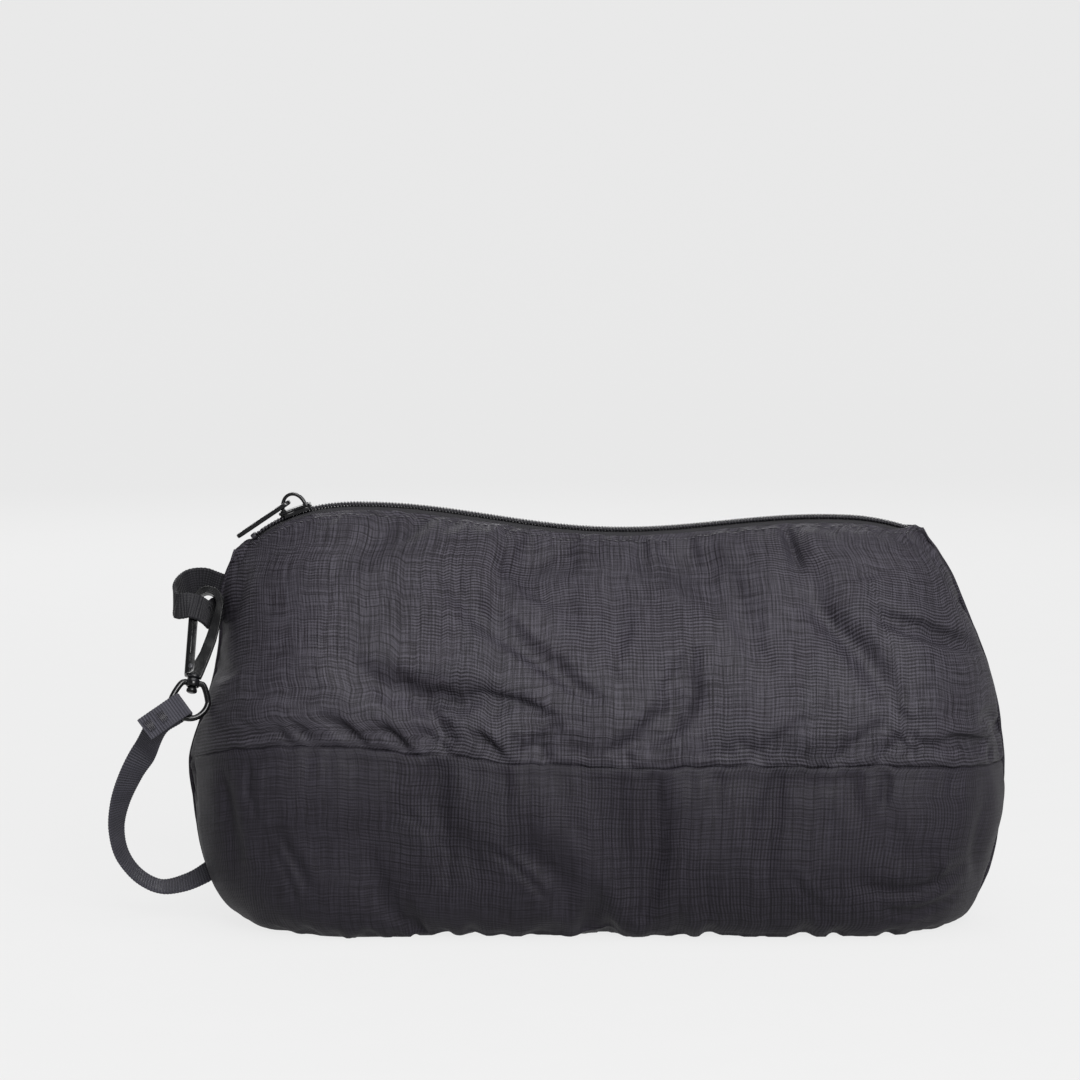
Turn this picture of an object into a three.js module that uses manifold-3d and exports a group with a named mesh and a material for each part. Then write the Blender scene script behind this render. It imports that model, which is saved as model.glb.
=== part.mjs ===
// A foldable ripstop tote, packed into its own zipped pouch, with a wrist strap and swivel clip.
// Millimetres, +Z up, +X along the zip. The origin is the centre of the pouch's flat underside.
import * as THREE from "three";
import { mergeVertices } from "three/addons/utils/BufferGeometryUtils.js";
import Module from "manifold-3d";

const wasm = await Module();
wasm.setup();

// ---- driving dimensions ----
const FABRIC = 0.8; // thickness of a pouch panel with its lining and seam allowances
const GAP = 0.4; // clearance between separate pieces that touch
const BASE = { halfLength: 126.3, halfDepth: 44, lengthRound: 9.3, depthRound: 7, roundPower: 9 };
const POUCH_HALF_LENGTH = 134.7; // at the seam between base and upper panels
const POUCH_HALF_DEPTH = 50;
const SEAM_HEIGHT = 53.5; // at the pouch's two ends
const SEAM_RISE = 5; // how much higher the seam is along the front and back
const END_SHARPNESS = 11; // high is a blunt end, low is a pointed one
const MOUTH_SHARPNESS = 30; // of the zip opening's own ends

// The pouch's half length at rising shares of the way from the base seam up to the zip.
const LEFT_OUTLINE = [134.7, 132.4, 129.2, 126, 123.6, 122, 121.3, 120.6, 115.5];
const RIGHT_OUTLINE = [134.7, 133.2, 131.2, 129.4, 126, 121.6, 117.4, 112.8, 107.6];
const MOUTH_LEFT = LEFT_OUTLINE.at(-1);
const MOUTH_RIGHT = RIGHT_OUTLINE.at(-1);

const PANEL_EDGE = 6.4; // from the zip's centre line to the folded edge of a panel
const PANEL_EDGE_DROP = 1.7; // how far that edge lies below the chain
const CHAIN_LIFT = 0.9; // how far the coils stand above the zip line
const COIL_WIDTH = 2.7;
const COIL_HEIGHT = 1.8;
const TAPE = 0.5;
const WEBBING = 1.2; // thickness of the 10 mm webbing
const WEBBING_WIDTH = 10;
const RING_WIRE = 1; // radius of the ring's wire
const POST_RADIUS = 1.1;

const COLOURS = { upper: 0x4a484d, base: 0x373539, webbing: 0x3c3b40, metal: 0x141416, zip: 0x242327 };

function material(name) {
  const metal = name === "metal";
  return new THREE.MeshStandardMaterial({
    color: COLOURS[name],
    roughness: metal ? 0.25 : 0.7,
    metalness: metal ? 0.8 : 0,
  });
}

const bag = new THREE.Group();
function piece(name, finish, geometry, parent = bag) {
  const mesh = new THREE.Mesh(geometry, material(finish));
  mesh.name = name;
  parent.add(mesh);
  return mesh;
}

// ---- helpers for closed solids ----
function closed(points, faces) {
  let volume = 0;
  for (const [a, b, c] of faces) volume += points[a].dot(points[b].clone().cross(points[c]));
  const turned = volume < 0 ? faces.map(([a, b, c]) => [a, c, b]) : faces;
  const geometry = new THREE.BufferGeometry().setFromPoints(points);
  geometry.setIndex(turned.flat());
  return geometry;
}

function bands(faces, rows, columns, first = 0, loop = false) {
  const steps = loop ? columns : columns - 1;
  for (let i = 0; i + 1 < rows; i++)
    for (let j = 0; j < steps; j++) {
      const a = first + i * columns + j;
      const b = first + i * columns + ((j + 1) % columns);
      faces.push([a, b, b + columns], [a, b + columns, a + columns]);
    }
}

// A thin sheet between two grids of points with the same rows and columns.
function sheet(outer, inner) {
  const rows = outer.length;
  const columns = outer[0].length;
  const faces = [];
  bands(faces, rows, columns);
  const under = [];
  bands(under, rows, columns, rows * columns);
  faces.push(...under.map(([a, b, c]) => [a, c, b]));
  const rim = [];
  for (let j = 0; j < columns; j++) rim.push(j);
  for (let i = 1; i < rows; i++) rim.push(i * columns + columns - 1);
  for (let j = columns - 2; j >= 0; j--) rim.push((rows - 1) * columns + j);
  for (let i = rows - 2; i > 0; i--) rim.push(i * columns);
  rim.forEach((a, n) => {
    const b = rim[(n + 1) % rim.length];
    const c = b + rows * columns;
    faces.push([a, c, b], [a, a + rows * columns, c]);
  });
  return closed([...outer.flat(), ...inner.flat()], faces);
}

// A flat band along a curve. across(s) gives the direction of its width at each share s of the curve.
function band(curve, across, width, thickness, steps) {
  const near = [];
  const far = [];
  for (let i = 0; i <= steps; i++) {
    const s = i / steps;
    const centre = curve.getPoint(s);
    const along = curve.getTangent(s);
    const side = across(s).clone().projectOnPlane(along).normalize();
    const normal = along.clone().cross(side).multiplyScalar(thickness / 2);
    side.multiplyScalar(width / 2);
    near.push([centre.clone().sub(side).add(normal), centre.clone().add(side).add(normal)]);
    far.push([centre.clone().sub(side).sub(normal), centre.clone().add(side).sub(normal)]);
  }
  return sheet(near, far);
}

function solid(geometry) {
  const bare = geometry.index ? geometry.clone() : mergeVertices(geometry.clone());
  bare.deleteAttribute("normal");
  bare.deleteAttribute("uv");
  const merged = mergeVertices(bare, 1e-4);
  return new wasm.Manifold(
    new wasm.Mesh({
      numProp: 3,
      vertProperties: merged.attributes.position.array,
      triVerts: new Uint32Array(merged.index.array),
    }),
  );
}

function geometryOf(manifold) {
  const { vertProperties, triVerts } = manifold.getMesh();
  const geometry = new THREE.BufferGeometry();
  geometry.setAttribute("position", new THREE.BufferAttribute(vertProperties, 3));
  geometry.setIndex(new THREE.BufferAttribute(triVerts, 1));
  return geometry;
}

function cylinderAlongY(radius, length, x, z, sides = 20) {
  return new THREE.CylinderGeometry(radius, radius, length, sides).translate(x, 0, z);
}

function cylinderAlongZ(radius, bottom, top, sides = 20) {
  return new THREE.CylinderGeometry(radius, radius, top - bottom, sides)
    .rotateX(Math.PI / 2)
    .translate(0, 0, (bottom + top) / 2);
}

// An outline in the XZ plane, thickened evenly to both sides of y = 0.
function plate(shape, thickness, bevel = 0, curveSegments = 8) {
  const geometry = new THREE.ExtrudeGeometry(shape, {
    depth: thickness - 2 * bevel,
    bevelEnabled: bevel > 0,
    bevelThickness: bevel,
    bevelSize: bevel,
    bevelOffset: -bevel,
    bevelSegments: 1,
    curveSegments,
  });
  return geometry.translate(0, 0, bevel - thickness / 2).rotateX(Math.PI / 2);
}

const lerp = THREE.MathUtils.lerp;
const vector = (x, y, z) => new THREE.Vector3(x, y, z);

// ---- the pouch's shape ----
// The zip line waves gently over the folded tote and falls away at its two shoulders.
const ZIP = { middle: 133.3, tilt: -0.0273, wave: 3.1, crest: -74, length: 154 };
const LEFT_SHOULDER = { x: -78, reach: 37.5, fall: 9.3, power: 2.8 };
const RIGHT_SHOULDER = { x: 84, reach: 25, fall: 3, power: 2 };

function zipHeight(x) {
  const wave = ZIP.wave * Math.cos((2 * Math.PI * (x - ZIP.crest)) / ZIP.length);
  const left = Math.max(0, (LEFT_SHOULDER.x - x) / LEFT_SHOULDER.reach) ** LEFT_SHOULDER.power;
  const right = Math.max(0, (x - RIGHT_SHOULDER.x) / RIGHT_SHOULDER.reach) ** RIGHT_SHOULDER.power;
  return ZIP.middle + ZIP.tilt * x + wave - LEFT_SHOULDER.fall * left - RIGHT_SHOULDER.fall * right;
}

const seamHeight = (share) => SEAM_HEIGHT + SEAM_RISE * (1 - Math.abs(share) ** 8);

// A smooth curve through evenly spaced values.
function halfLength(outline, level) {
  const at = Math.min(level, 0.9999) * (outline.length - 1);
  const i = Math.floor(at);
  const t = at - i;
  const [a, b, c, d] = [-1, 0, 1, 2].map((n) => outline[Math.max(0, Math.min(outline.length - 1, i + n))]);
  return b + (t * (c - a + t * (2 * a - 5 * b + 4 * c - d + t * (3 * b - a - 3 * c + d)))) / 2;
}

// share runs from -1 at the left end seam to 1 at the right one, and level from 0 at the base seam
// to 1 at the zip. side is -1 for the front and 1 for the back.
function upperPoint(share, level, side, inset = 0) {
  const length = halfLength(share < 0 ? LEFT_OUTLINE : RIGHT_OUTLINE, level) - inset;
  const bulge = (POUCH_HALF_DEPTH - PANEL_EDGE) * (1 - level ** 1.9) ** 0.85 - inset * (1 - 0.6 * level);
  const x = share * length;
  const top = zipHeight(x) - PANEL_EDGE_DROP;
  const z = lerp(seamHeight(share), top, level) - inset * level * 0.8;
  const mouthEdge = PANEL_EDGE * (1 - Math.abs(share) ** MOUTH_SHARPNESS);
  const y = GAP / 2 + mouthEdge + bulge * (1 - Math.abs(share) ** END_SHARPNESS);
  return vector(x, side * y, z);
}

// level runs from 0 at the flat underside to 1 at the base seam.
function basePoint(share, level, side, inset = 0) {
  const round = (1 - level) ** BASE.roundPower;
  const length = lerp(BASE.halfLength, POUCH_HALF_LENGTH, level) - BASE.lengthRound * round - inset;
  const depth = lerp(BASE.halfDepth, POUCH_HALF_DEPTH, level) - BASE.depthRound * round - inset;
  const y = depth * (1 - Math.abs(share) ** END_SHARPNESS);
  const z = lerp(inset, seamHeight(share) - GAP, level);
  return vector(share * length, side * y, z);
}

const PANEL_COLUMNS = 32;
const shares = (count) => Array.from({ length: count + 1 }, (_, i) => -Math.cos((Math.PI * i) / count));
const grid = (rows, columns, at) => rows.map((row) => columns.map((column) => at(column, row)));

function upperPanel(side) {
  const columns = shares(PANEL_COLUMNS);
  const rows = Array.from({ length: 10 }, (_, j) => Math.sin((Math.PI / 2) * (j / 9)));
  return sheet(
    grid(rows, columns, (share, level) => upperPoint(share, level, side)),
    grid(rows, columns, (share, level) => upperPoint(share, level, side, FABRIC)),
  );
}

// The base is one tub: rings of points round the pouch, closed below by a flat floor.
function basePanel() {
  const columns = shares(PANEL_COLUMNS);
  const levels = [0, 0.03, 0.08, 0.15, 0.25, 0.45, 0.7, 1];
  const around = (level, inset) => [
    ...columns.map((share) => basePoint(share, level, -1, inset)),
    ...columns.slice(1, -1).reverse().map((share) => basePoint(share, level, 1, inset)),
  ];
  const outer = levels.map((level) => around(level, 0));
  const inner = levels.map((level) => around(level, FABRIC));
  const ring = outer[0].length;
  const rows = levels.length;
  const faces = [];
  bands(faces, rows, ring, 0, true);
  const floor = [];
  const last = columns.length - 1;
  const back = (i) => (i === 0 ? 0 : i === last ? last : ring - i);
  for (let i = 0; i < last; i++) floor.push([i, back(i), i + 1], [back(i), back(i + 1), i + 1]);
  const real = ([a, b, c]) => a !== b && b !== c && a !== c;
  faces.push(...floor.filter(real));
  const inside = faces.map(([a, b, c]) => [a + rows * ring, c + rows * ring, b + rows * ring]);
  const rim = (rows - 1) * ring;
  for (let j = 0; j < ring; j++) {
    const next = (j + 1) % ring;
    faces.push([rim + j, rim + next, rim + next + rows * ring]);
    faces.push([rim + j, rim + next + rows * ring, rim + j + rows * ring]);
  }
  return closed([...outer.flat(), ...inner.flat()], [...faces, ...inside]);
}

piece("front_upper_panel", "upper", upperPanel(-1));
piece("back_upper_panel", "upper", upperPanel(1));
piece("base_panel", "base", basePanel());

// ---- end seams: a bound ridge down each end of the pouch ----
const BINDING = { width: 2.2, stand: 1.6 };
function endBinding(side) {
  const points = [];
  for (const level of [0.12, 0.25, 0.45, 0.7, 1]) points.push(basePoint(side, level, 1));
  for (const level of [0.15, 0.3, 0.5, 0.7, 0.85, 0.95]) points.push(upperPoint(side, level, 1));
  const out = vector(side * (GAP + BINDING.stand / 2), 0, 0);
  const curve = new THREE.CatmullRomCurve3(points.map((point) => point.setY(0).add(out)));
  return band(curve, () => vector(0, 1, 0), BINDING.width, BINDING.stand, 24);
}
piece("left_end_binding", "base", endBinding(-1));
piece("right_end_binding", "base", endBinding(1));

// ---- seam tapes that cover the raw edges inside the base seam ----
function seamTape(side) {
  const inset = FABRIC + 1.7 * GAP;
  const heights = [-4, 4];
  const columns = shares(PANEL_COLUMNS).slice(2, -2);
  const at = (share, height, depth) => {
    const point = height < 0 ? basePoint(share, 0.93, side, depth) : upperPoint(share, 0.05, side, depth);
    return point.setZ(seamHeight(share) + height);
  };
  return sheet(
    grid(heights, columns, (share, height) => at(share, height, inset)),
    grid(heights, columns, (share, height) => at(share, height, inset + 0.6)),
  );
}
piece("front_seam_tape", "base", seamTape(-1));
piece("back_seam_tape", "base", seamTape(1));

// ---- the zip ----
const SLIDER = { x: -100, length: 11, shoulder: 9.4, tail: 8.4, plate: 1, gap: 2.9, wall: 0.75 };
const COIL_LEFT = -113;
const COIL_RIGHT = 104;

// The coils lie side by side where the zip is closed and part round the slider's wedge.
function coilOffset(x) {
  const open = THREE.MathUtils.smoothstep(-x, -SLIDER.x - 1.5, -SLIDER.x + 3.5);
  return GAP / 2 + COIL_WIDTH / 2 + 0.75 * open;
}

function zipLine(offset, lift, from, to) {
  const count = 44;
  return Array.from({ length: count + 1 }, (_, i) => {
    const x = lerp(from, to, i / count);
    return vector(x, offset(x), zipHeight(x) + lift);
  });
}

function coil(side) {
  const points = zipLine((x) => side * coilOffset(x), CHAIN_LIFT - TAPE / 2, COIL_LEFT, COIL_RIGHT);
  const curve = new THREE.CatmullRomCurve3(points);
  return band(curve, () => vector(0, 1, 0), COIL_WIDTH, COIL_HEIGHT - TAPE, 56);
}

// Each tape runs from under its coil to below the folded edge of its panel.
function tape(side) {
  const steps = [0, 1, 2, 3];
  const columns = Array.from({ length: 45 }, (_, i) => lerp(COIL_LEFT - 1, COIL_RIGHT + 2, i / 44));
  const at = (x, step, drop) => {
    const line = zipHeight(x) - drop;
    const inner = coilOffset(x) - COIL_WIDTH / 2 + 0.1;
    const edge = upperPoint(x / (x < 0 ? MOUTH_LEFT : MOUTH_RIGHT), 1, side);
    const narrow = Math.min(1, Math.abs(edge.y) / PANEL_EDGE) ** 1.3;
    const across = [inner, 4.9, 5.4, 8.2][step] * narrow;
    const below = [0.2, 0.3, 2.9, 4.9][step];
    return vector(x, side * Math.max(across, GAP / 2), line - below);
  };
  return sheet(
    grid(steps, columns, (x, step) => at(x, step, 0)),
    grid(steps, columns, (x, step) => at(x, step, TAPE)),
  );
}

for (const [name, side] of [["front", -1], ["back", 1]]) {
  piece(`zip_coil_${name}`, "zip", coil(side));
  piece(`zip_tape_${name}`, "zip", tape(side));
}

function stop(x, length) {
  const half = COIL_WIDTH + 0.4;
  const top = CHAIN_LIFT + COIL_HEIGHT / 2;
  const block = new THREE.BoxGeometry(length, 2 * half, top + 0.2).translate(0, 0, top / 2);
  const slope = Math.atan2(zipHeight(x + 1) - zipHeight(x - 1), 2);
  return block.rotateY(-slope).translate(x, 0, zipHeight(x));
}
piece("zip_top_stop", "zip", stop(COIL_LEFT - 1.2, 1.6));
piece("zip_bottom_stop", "metal", stop(COIL_RIGHT + 1.6, 1.8));

// ---- the slider, which runs on the coils, and its pull tab ----
const BRIDGE = { half: 4.4, height: 5.6, bar: 1.15, width: 2.4 };
const PULL = { x: -1.4, z: 4.7, eye: 0.65, hole: 5.4, length: 20.5, width: 6, thick: 1.5 };
const SLIDER_TILT = THREE.MathUtils.degToRad(19);
const PULL_ANGLE = THREE.MathUtils.degToRad(34);

const slider = new THREE.Group();
slider.position.set(SLIDER.x, 0, zipHeight(SLIDER.x) + 0.2);
slider.rotation.y = -SLIDER_TILT;
bag.add(slider);

function sliderOutline(grow = 0) {
  const [half, shoulder, tail] = [SLIDER.length / 2, SLIDER.shoulder / 2 - grow, SLIDER.tail / 2 - grow];
  const shape = new THREE.Shape();
  shape.moveTo(half, -tail);
  shape.lineTo(half, tail);
  shape.lineTo(0, tail);
  shape.quadraticCurveTo(-half * 0.5, shoulder, -half * 0.7, shoulder);
  shape.quadraticCurveTo(-half, shoulder, -half, shoulder * 0.7);
  shape.lineTo(-half, -shoulder * 0.7);
  shape.quadraticCurveTo(-half, -shoulder, -half * 0.7, -shoulder);
  shape.quadraticCurveTo(-half * 0.5, -shoulder, 0, -tail);
  shape.lineTo(half, -tail);
  return shape;
}

function sliderBody() {
  const layer = (bottom, top, grow = 0) =>
    solid(
      new THREE.ExtrudeGeometry(sliderOutline(grow), {
        depth: top - bottom,
        bevelEnabled: false,
        curveSegments: 4,
      }).translate(0, 0, bottom),
    );
  const half = SLIDER.gap / 2;
  const { length, shoulder, tail, wall, gap } = SLIDER;
  let body = layer(-half - SLIDER.plate, half + SLIDER.plate);
  const channel = layer(-half, half, wall);
  const through = solid(new THREE.BoxGeometry(length + 2, tail - 2 * wall, gap));
  const front = solid(new THREE.BoxGeometry(4, shoulder - 2 * wall, gap).translate(-length / 2, 0, 0));
  body = body.subtract(channel).subtract(through).subtract(front);
  const slot = new THREE.BoxGeometry(length + 2, shoulder + 2, half + 0.15);
  body = body.subtract(solid(slot.translate(0, 0, (0.15 - half) / 2)));
  const wedge = new THREE.BoxGeometry(2.6, 1.1, SLIDER.gap + 0.4).translate(-SLIDER.length / 2 + 1.5, 0, 0);
  body = body.add(solid(wedge));
  const arch = new THREE.Shape();
  const foot = half + SLIDER.plate - 0.3;
  arch.absellipse(0, foot, BRIDGE.half, BRIDGE.height, 0, Math.PI, false);
  arch.lineTo(-BRIDGE.half + BRIDGE.bar, foot);
  arch.absellipse(0, foot, BRIDGE.half - BRIDGE.bar, BRIDGE.height - BRIDGE.bar, Math.PI, 0, true);
  return geometryOf(body.add(solid(plate(arch, BRIDGE.width, 0, 10))));
}
piece("slider_body", "metal", sliderBody(), slider);

// The tab lies along its own -X and turns about its eye, which sits inside the slider's bridge.
function pullTab() {
  const half = PULL.width / 2;
  const outline = new THREE.Shape();
  const end = -PULL.length;
  outline.moveTo(PULL.eye, -half * 0.8);
  outline.lineTo(PULL.eye, half * 0.8);
  outline.lineTo(-1.5, half);
  outline.lineTo(end + 2, half * 0.86);
  outline.quadraticCurveTo(end, half * 0.86, end, half * 0.3);
  outline.lineTo(end, -half * 0.3);
  outline.quadraticCurveTo(end, -half * 0.86, end + 2, -half * 0.86);
  outline.lineTo(-1.5, -half);
  outline.lineTo(PULL.eye, -half * 0.8);
  const thick = PULL.thick;
  const slab = solid(
    new THREE.ExtrudeGeometry(outline, { depth: thick, bevelEnabled: false, curveSegments: 4 }).translate(
      0,
      0,
      -thick / 2,
    ),
  );
  const window = new THREE.BoxGeometry(PULL.hole - PULL.eye, BRIDGE.width + 0.9, thick + 1);
  const recess = new THREE.BoxGeometry(PULL.length - PULL.hole - 4, PULL.width - 2.4, 0.4);
  const middle = -(PULL.length + PULL.hole) / 2;
  return geometryOf(
    slab
      .subtract(solid(window.translate(-(PULL.hole + PULL.eye) / 2, 0, 0)))
      .subtract(solid(recess.clone().translate(middle, 0, thick / 2)))
      .subtract(solid(recess.clone().translate(middle, 0, -thick / 2))),
  );
}
const tab = piece("pull_tab", "metal", pullTab(), slider);
tab.position.set(PULL.x, 0, PULL.z);
tab.rotation.y = SLIDER_TILT - PULL_ANGLE;

// ---- the swivel clip: its own frame has +Z up the hook and its origin in the middle of the swivel ----
const clip = new THREE.Group();
clip.position.set(-133.2, -19.5, 81.6);
clip.rotation.order = "YXZ";
clip.rotation.y = THREE.MathUtils.degToRad(8);
clip.rotation.x = -THREE.MathUtils.degToRad(25);
bag.add(clip);

const HOOK = { base: 1.8, top: 29.6, outer: 6.4, inner: 3.6, thick: 3, centre: 0.5 };
const GATE = { x: -1.4, z: 4.9, pin: 0.6, length: 21.3, width: 2.9, depth: 4.8, wall: 0.6, lean: -5 };

function hookBody() {
  const shape = new THREE.Shape();
  shape.moveTo(-2.5, HOOK.base);
  shape.lineTo(3.2, HOOK.base);
  shape.quadraticCurveTo(3.9, 5, 4.9, 12);
  shape.lineTo(HOOK.centre + HOOK.outer, HOOK.top - 0.6);
  shape.absarc(HOOK.centre, HOOK.top, HOOK.outer, 0, Math.PI, false);
  shape.lineTo(HOOK.centre - HOOK.outer + 0.2, 27.4);
  shape.lineTo(HOOK.centre - HOOK.inner - 0.1, 27.4);
  shape.lineTo(HOOK.centre - HOOK.inner, HOOK.top);
  shape.absarc(HOOK.centre, HOOK.top, HOOK.inner, Math.PI, 0, true);
  shape.lineTo(1.9, 12.5);
  shape.lineTo(0.4, 7);
  shape.lineTo(-2.5, 6.2);
  shape.lineTo(-2.5, HOOK.base);
  const bore = solid(cylinderAlongY(GATE.pin + GAP, HOOK.thick + 2, GATE.x, GATE.z));
  const post = solid(cylinderAlongZ(POST_RADIUS, -2.2, HOOK.base + 0.5));
  const head = solid(cylinderAlongZ(1.8, -3.3, -1.9));
  return geometryOf(solid(plate(shape, HOOK.thick, 0.4)).subtract(bore).add(post).add(head));
}
piece("hook_body", "metal", hookBody(), clip);

// The gate is a folded channel that straddles the foot of the hook and closes against its nose.
const gate = new THREE.Group();
gate.position.set(GATE.x, 0, GATE.z);
gate.rotation.y = THREE.MathUtils.degToRad(GATE.lean);
clip.add(gate);

function gateLever() {
  const { length, width, depth, wall } = GATE;
  const outline = new THREE.Shape();
  const left = -1.4 - wall;
  outline.moveTo(left, -2.4);
  outline.lineTo(left, length);
  outline.lineTo(left + width, length);
  outline.lineTo(left + width, 3);
  outline.lineTo(left + width + 0.3, -1.6);
  outline.lineTo(left + 1.6, -2.4);
  const inside = new THREE.BoxGeometry(width + 2, depth - 2 * wall, length * 2);
  inside.translate(left + wall + width / 2 + 1, 0, 0);
  const bore = solid(cylinderAlongY(GATE.pin + 0.3, depth + 2, 0, 0));
  return geometryOf(solid(plate(outline, depth)).subtract(solid(inside)).subtract(bore));
}
piece("gate_lever", "metal", gateLever(), gate);
piece("gate_pin", "metal", cylinderAlongY(GATE.pin, GATE.depth + 0.6, 0, 0), gate);

// A bent leaf between the foot of the hook and the inside of the gate.
const leaf = new THREE.CatmullRomCurve3([
  vector(-1.1, 0, 2.2),
  vector(-0.1, 0, 3.4),
  vector(-0.2, 0, 6),
  vector(-1, 0, 9),
]);
piece("gate_spring", "metal", band(leaf, () => vector(0, 1, 0), 1.8, 0.3, 10), gate);

// A round-shouldered D with a barrel in its straight bar, which turns on the hook's post.
function swivelRing() {
  const radius = 6;
  const drop = 5.9;
  const points = [];
  const arms = 22;
  for (let i = 0; i <= arms; i++) {
    const angle = lerp(-0.22, Math.PI + 0.22, i / arms);
    points.push(vector(radius * Math.cos(angle), 0, -drop - radius * 1.06 * Math.sin(angle)));
  }
  points.push(vector(-2.6, 0, 0), vector(0, 0, 0), vector(2.6, 0, 0));
  const curve = new THREE.CatmullRomCurve3(points, true, "centripetal");
  const wire = new THREE.Shape();
  wire.absarc(0, 0, RING_WIRE, 0, 2 * Math.PI, false);
  const made = new THREE.ExtrudeGeometry(wire, {
    steps: 60,
    bevelEnabled: false,
    extrudePath: curve,
    curveSegments: 5,
  });
  const barrel = solid(cylinderAlongZ(2.1, -1.4, 1.3, 24));
  const bore = solid(cylinderAlongZ(POST_RADIUS + 0.35, -4, 4, 24));
  return geometryOf(solid(made).add(barrel).subtract(bore));
}
piece("swivel_ring", "metal", swivelRing(), clip);

// ---- webbing: the loop that the clip hangs from, and the wrist strap ----
function smooth(points) {
  return new THREE.CatmullRomCurve3(points, false, "centripetal");
}

// Turns a list of directions into a function of the share along a curve.
function directions(list) {
  return (s) => {
    const at = Math.min(s, 0.9999) * (list.length - 1);
    const low = Math.floor(at);
    return list[low].clone().lerp(list[low + 1], at - low);
  };
}

const UP = vector(0, 0, 1);
clip.updateMatrixWorld(true);
const clipPoint = (x, y, z) => vector(x, y, z).applyMatrix4(clip.matrixWorld);
const alongClip = UP.clone().applyQuaternion(clip.quaternion);
const alongSeam = vector(0.35, 0, 1);
const loopPath = smooth([
  vector(-126.7, 1.5, 111.5),
  vector(-131.5, 3.2, 113.2),
  vector(-137, 2.6, 113),
  vector(-141.2, -1.4, 111),
  vector(-143.2, -7, 108),
  vector(-141.4, -11.6, 105.2),
  clipPoint(-5.5, -3.6, 24),
  clipPoint(-2.6, -3.6, 23.6),
  clipPoint(-0.6, -2, 23.4),
  clipPoint(1.1, 0.8, 23.4),
  clipPoint(2.3, 3.2, 23.4),
  vector(-127.9, -4.2, 102.4),
  vector(-126.5, -2.2, 103.4),
]);
const loopSides = directions([
  alongSeam,
  ...Array(4).fill(UP),
  ...Array(4).fill(alongClip),
  alongSeam,
]);
piece("webbing_loop", "webbing", band(loopPath, loopSides, WEBBING_WIDTH - 1.4, WEBBING, 64));

// The strap leaves the lower end of the seam on edge, turns flat as it hangs in a bow, and folds back
// through the ring, where the short end is stitched down on its front.
const ringCentre = clipPoint(0, 0, -6.2);
const toStrap = vector(-0.72, 0, -0.69).normalize().applyQuaternion(clip.quaternion);
const through = vector(0, 1, 0).applyQuaternion(clip.quaternion);
const foldSide = toStrap.clone().cross(through).normalize();
const fold = (along, back) =>
  ringCentre.clone().addScaledVector(toStrap, along).addScaledVector(through, back);
const LAYER = 1.75; // from the ring's plane to the middle of each layer of the fold

const strapPath = smooth([
  vector(-131.1, 0, 14.4),
  vector(-138.4, 0.5, 11.2),
  vector(-146.4, 0.2, 10.2),
  vector(-153.6, -1, 14),
  vector(-158.9, -3, 21.6),
  vector(-160.4, -5.6, 30.4),
  vector(-158.8, -9, 40),
  vector(-154.4, -13, 50.6),
  vector(-149.6, -16, 58.6),
  fold(12, 1.3),
  fold(7, LAYER),
  fold(4.2, LAYER),
  fold(2.6, 1.25),
  fold(2.1, 0),
  fold(2.6, -1.25),
  fold(4.2, -LAYER),
  fold(7, -LAYER),
  fold(12, -1.7),
  fold(18, -1.3),
]);
const strapSides = directions([
  vector(0, 0.7, 0.7),
  vector(0, 0.85, 0.55),
  vector(0, 0.93, 0.37),
  vector(0.15, 0.93, 0.3),
  vector(0.37, 0.93, 0.1),
  vector(0.45, 0.88, -0.05),
  vector(0.6, 0.75, -0.2),
  vector(0.73, 0.5, -0.4),
  foldSide.clone().lerp(vector(0, 1, 0), 0.2),
  ...Array.from({ length: 10 }, () => foldSide),
]);
piece("wrist_strap", "webbing", band(strapPath, strapSides, WEBBING_WIDTH - 1.6, 1, 110));

// ---- the packed tote inside ----
const STACK = { half: 92, bottom: 3, layer: 6, gap: 1.4, count: 10 };

// The tote's body is one cloth folded to and fro. Its outline follows the pouch's section.
function toteBody() {
  const pitch = STACK.layer + STACK.gap;
  const halfWidth = (z) => (z < 52 ? lerp(33, 41, z / 52) : lerp(41, 24, (z - 52) / 38));
  const right = [];
  const left = [];
  for (let i = 0; i < STACK.count; i++) {
    const low = STACK.bottom + i * pitch;
    const high = low + STACK.layer;
    const width = halfWidth((low + high) / 2);
    const turnRight = i % 2 === 0;
    right.push([width, low], [width, high]);
    if (i < STACK.count - 1 && !turnRight) right.push([-width + 5, high], [-width + 5, high + STACK.gap]);
    left.push([-width, low], [-width, high]);
    if (i < STACK.count - 1 && turnRight) left.push([width - 5, high], [width - 5, high + STACK.gap]);
  }
  const shape = new THREE.Shape([...right, ...left.reverse()].map(([y, z]) => new THREE.Vector2(y, z)));
  return new THREE.ExtrudeGeometry(shape, { depth: 2 * STACK.half, bevelEnabled: false })
    .translate(0, 0, -STACK.half)
    .rotateX(Math.PI / 2)
    .rotateZ(Math.PI / 2);
}
piece("tote_body", "upper", toteBody());

// Each handle is folded into three passes and laid on the packed body.
function toteHandle(y) {
  const top = STACK.bottom + STACK.count * (STACK.layer + STACK.gap);
  const points = [];
  [-1, 1, -1].forEach((way, pass) => {
    const z = top + 1.2 + pass * 2.8;
    points.push(vector(-58 * way, y, z), vector(0, y, z), vector(58 * way, y, z));
    if (pass < 2) points.push(vector(60.4 * way, y, z + 1.4));
  });
  return band(smooth(points), () => vector(0, 1, 0), 20, 1.4, 60);
}
piece("tote_handle_front", "webbing", toteHandle(-12));
piece("tote_handle_back", "webbing", toteHandle(12));

// A tab joins the tote to the pouch, so the pouch stays with the open bag.
function anchorTab() {
  const path = smooth([
    vector(0, 41.6, 47.2),
    vector(0, 43.6, 48.2),
    vector(0, 45.2, 51),
    vector(0, 46, 55),
  ]);
  return band(path, () => vector(1, 0, 0), 60, 0.8, 8);
}
piece("tote_anchor_tab", "base", anchorTab());

export default bag;
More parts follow.
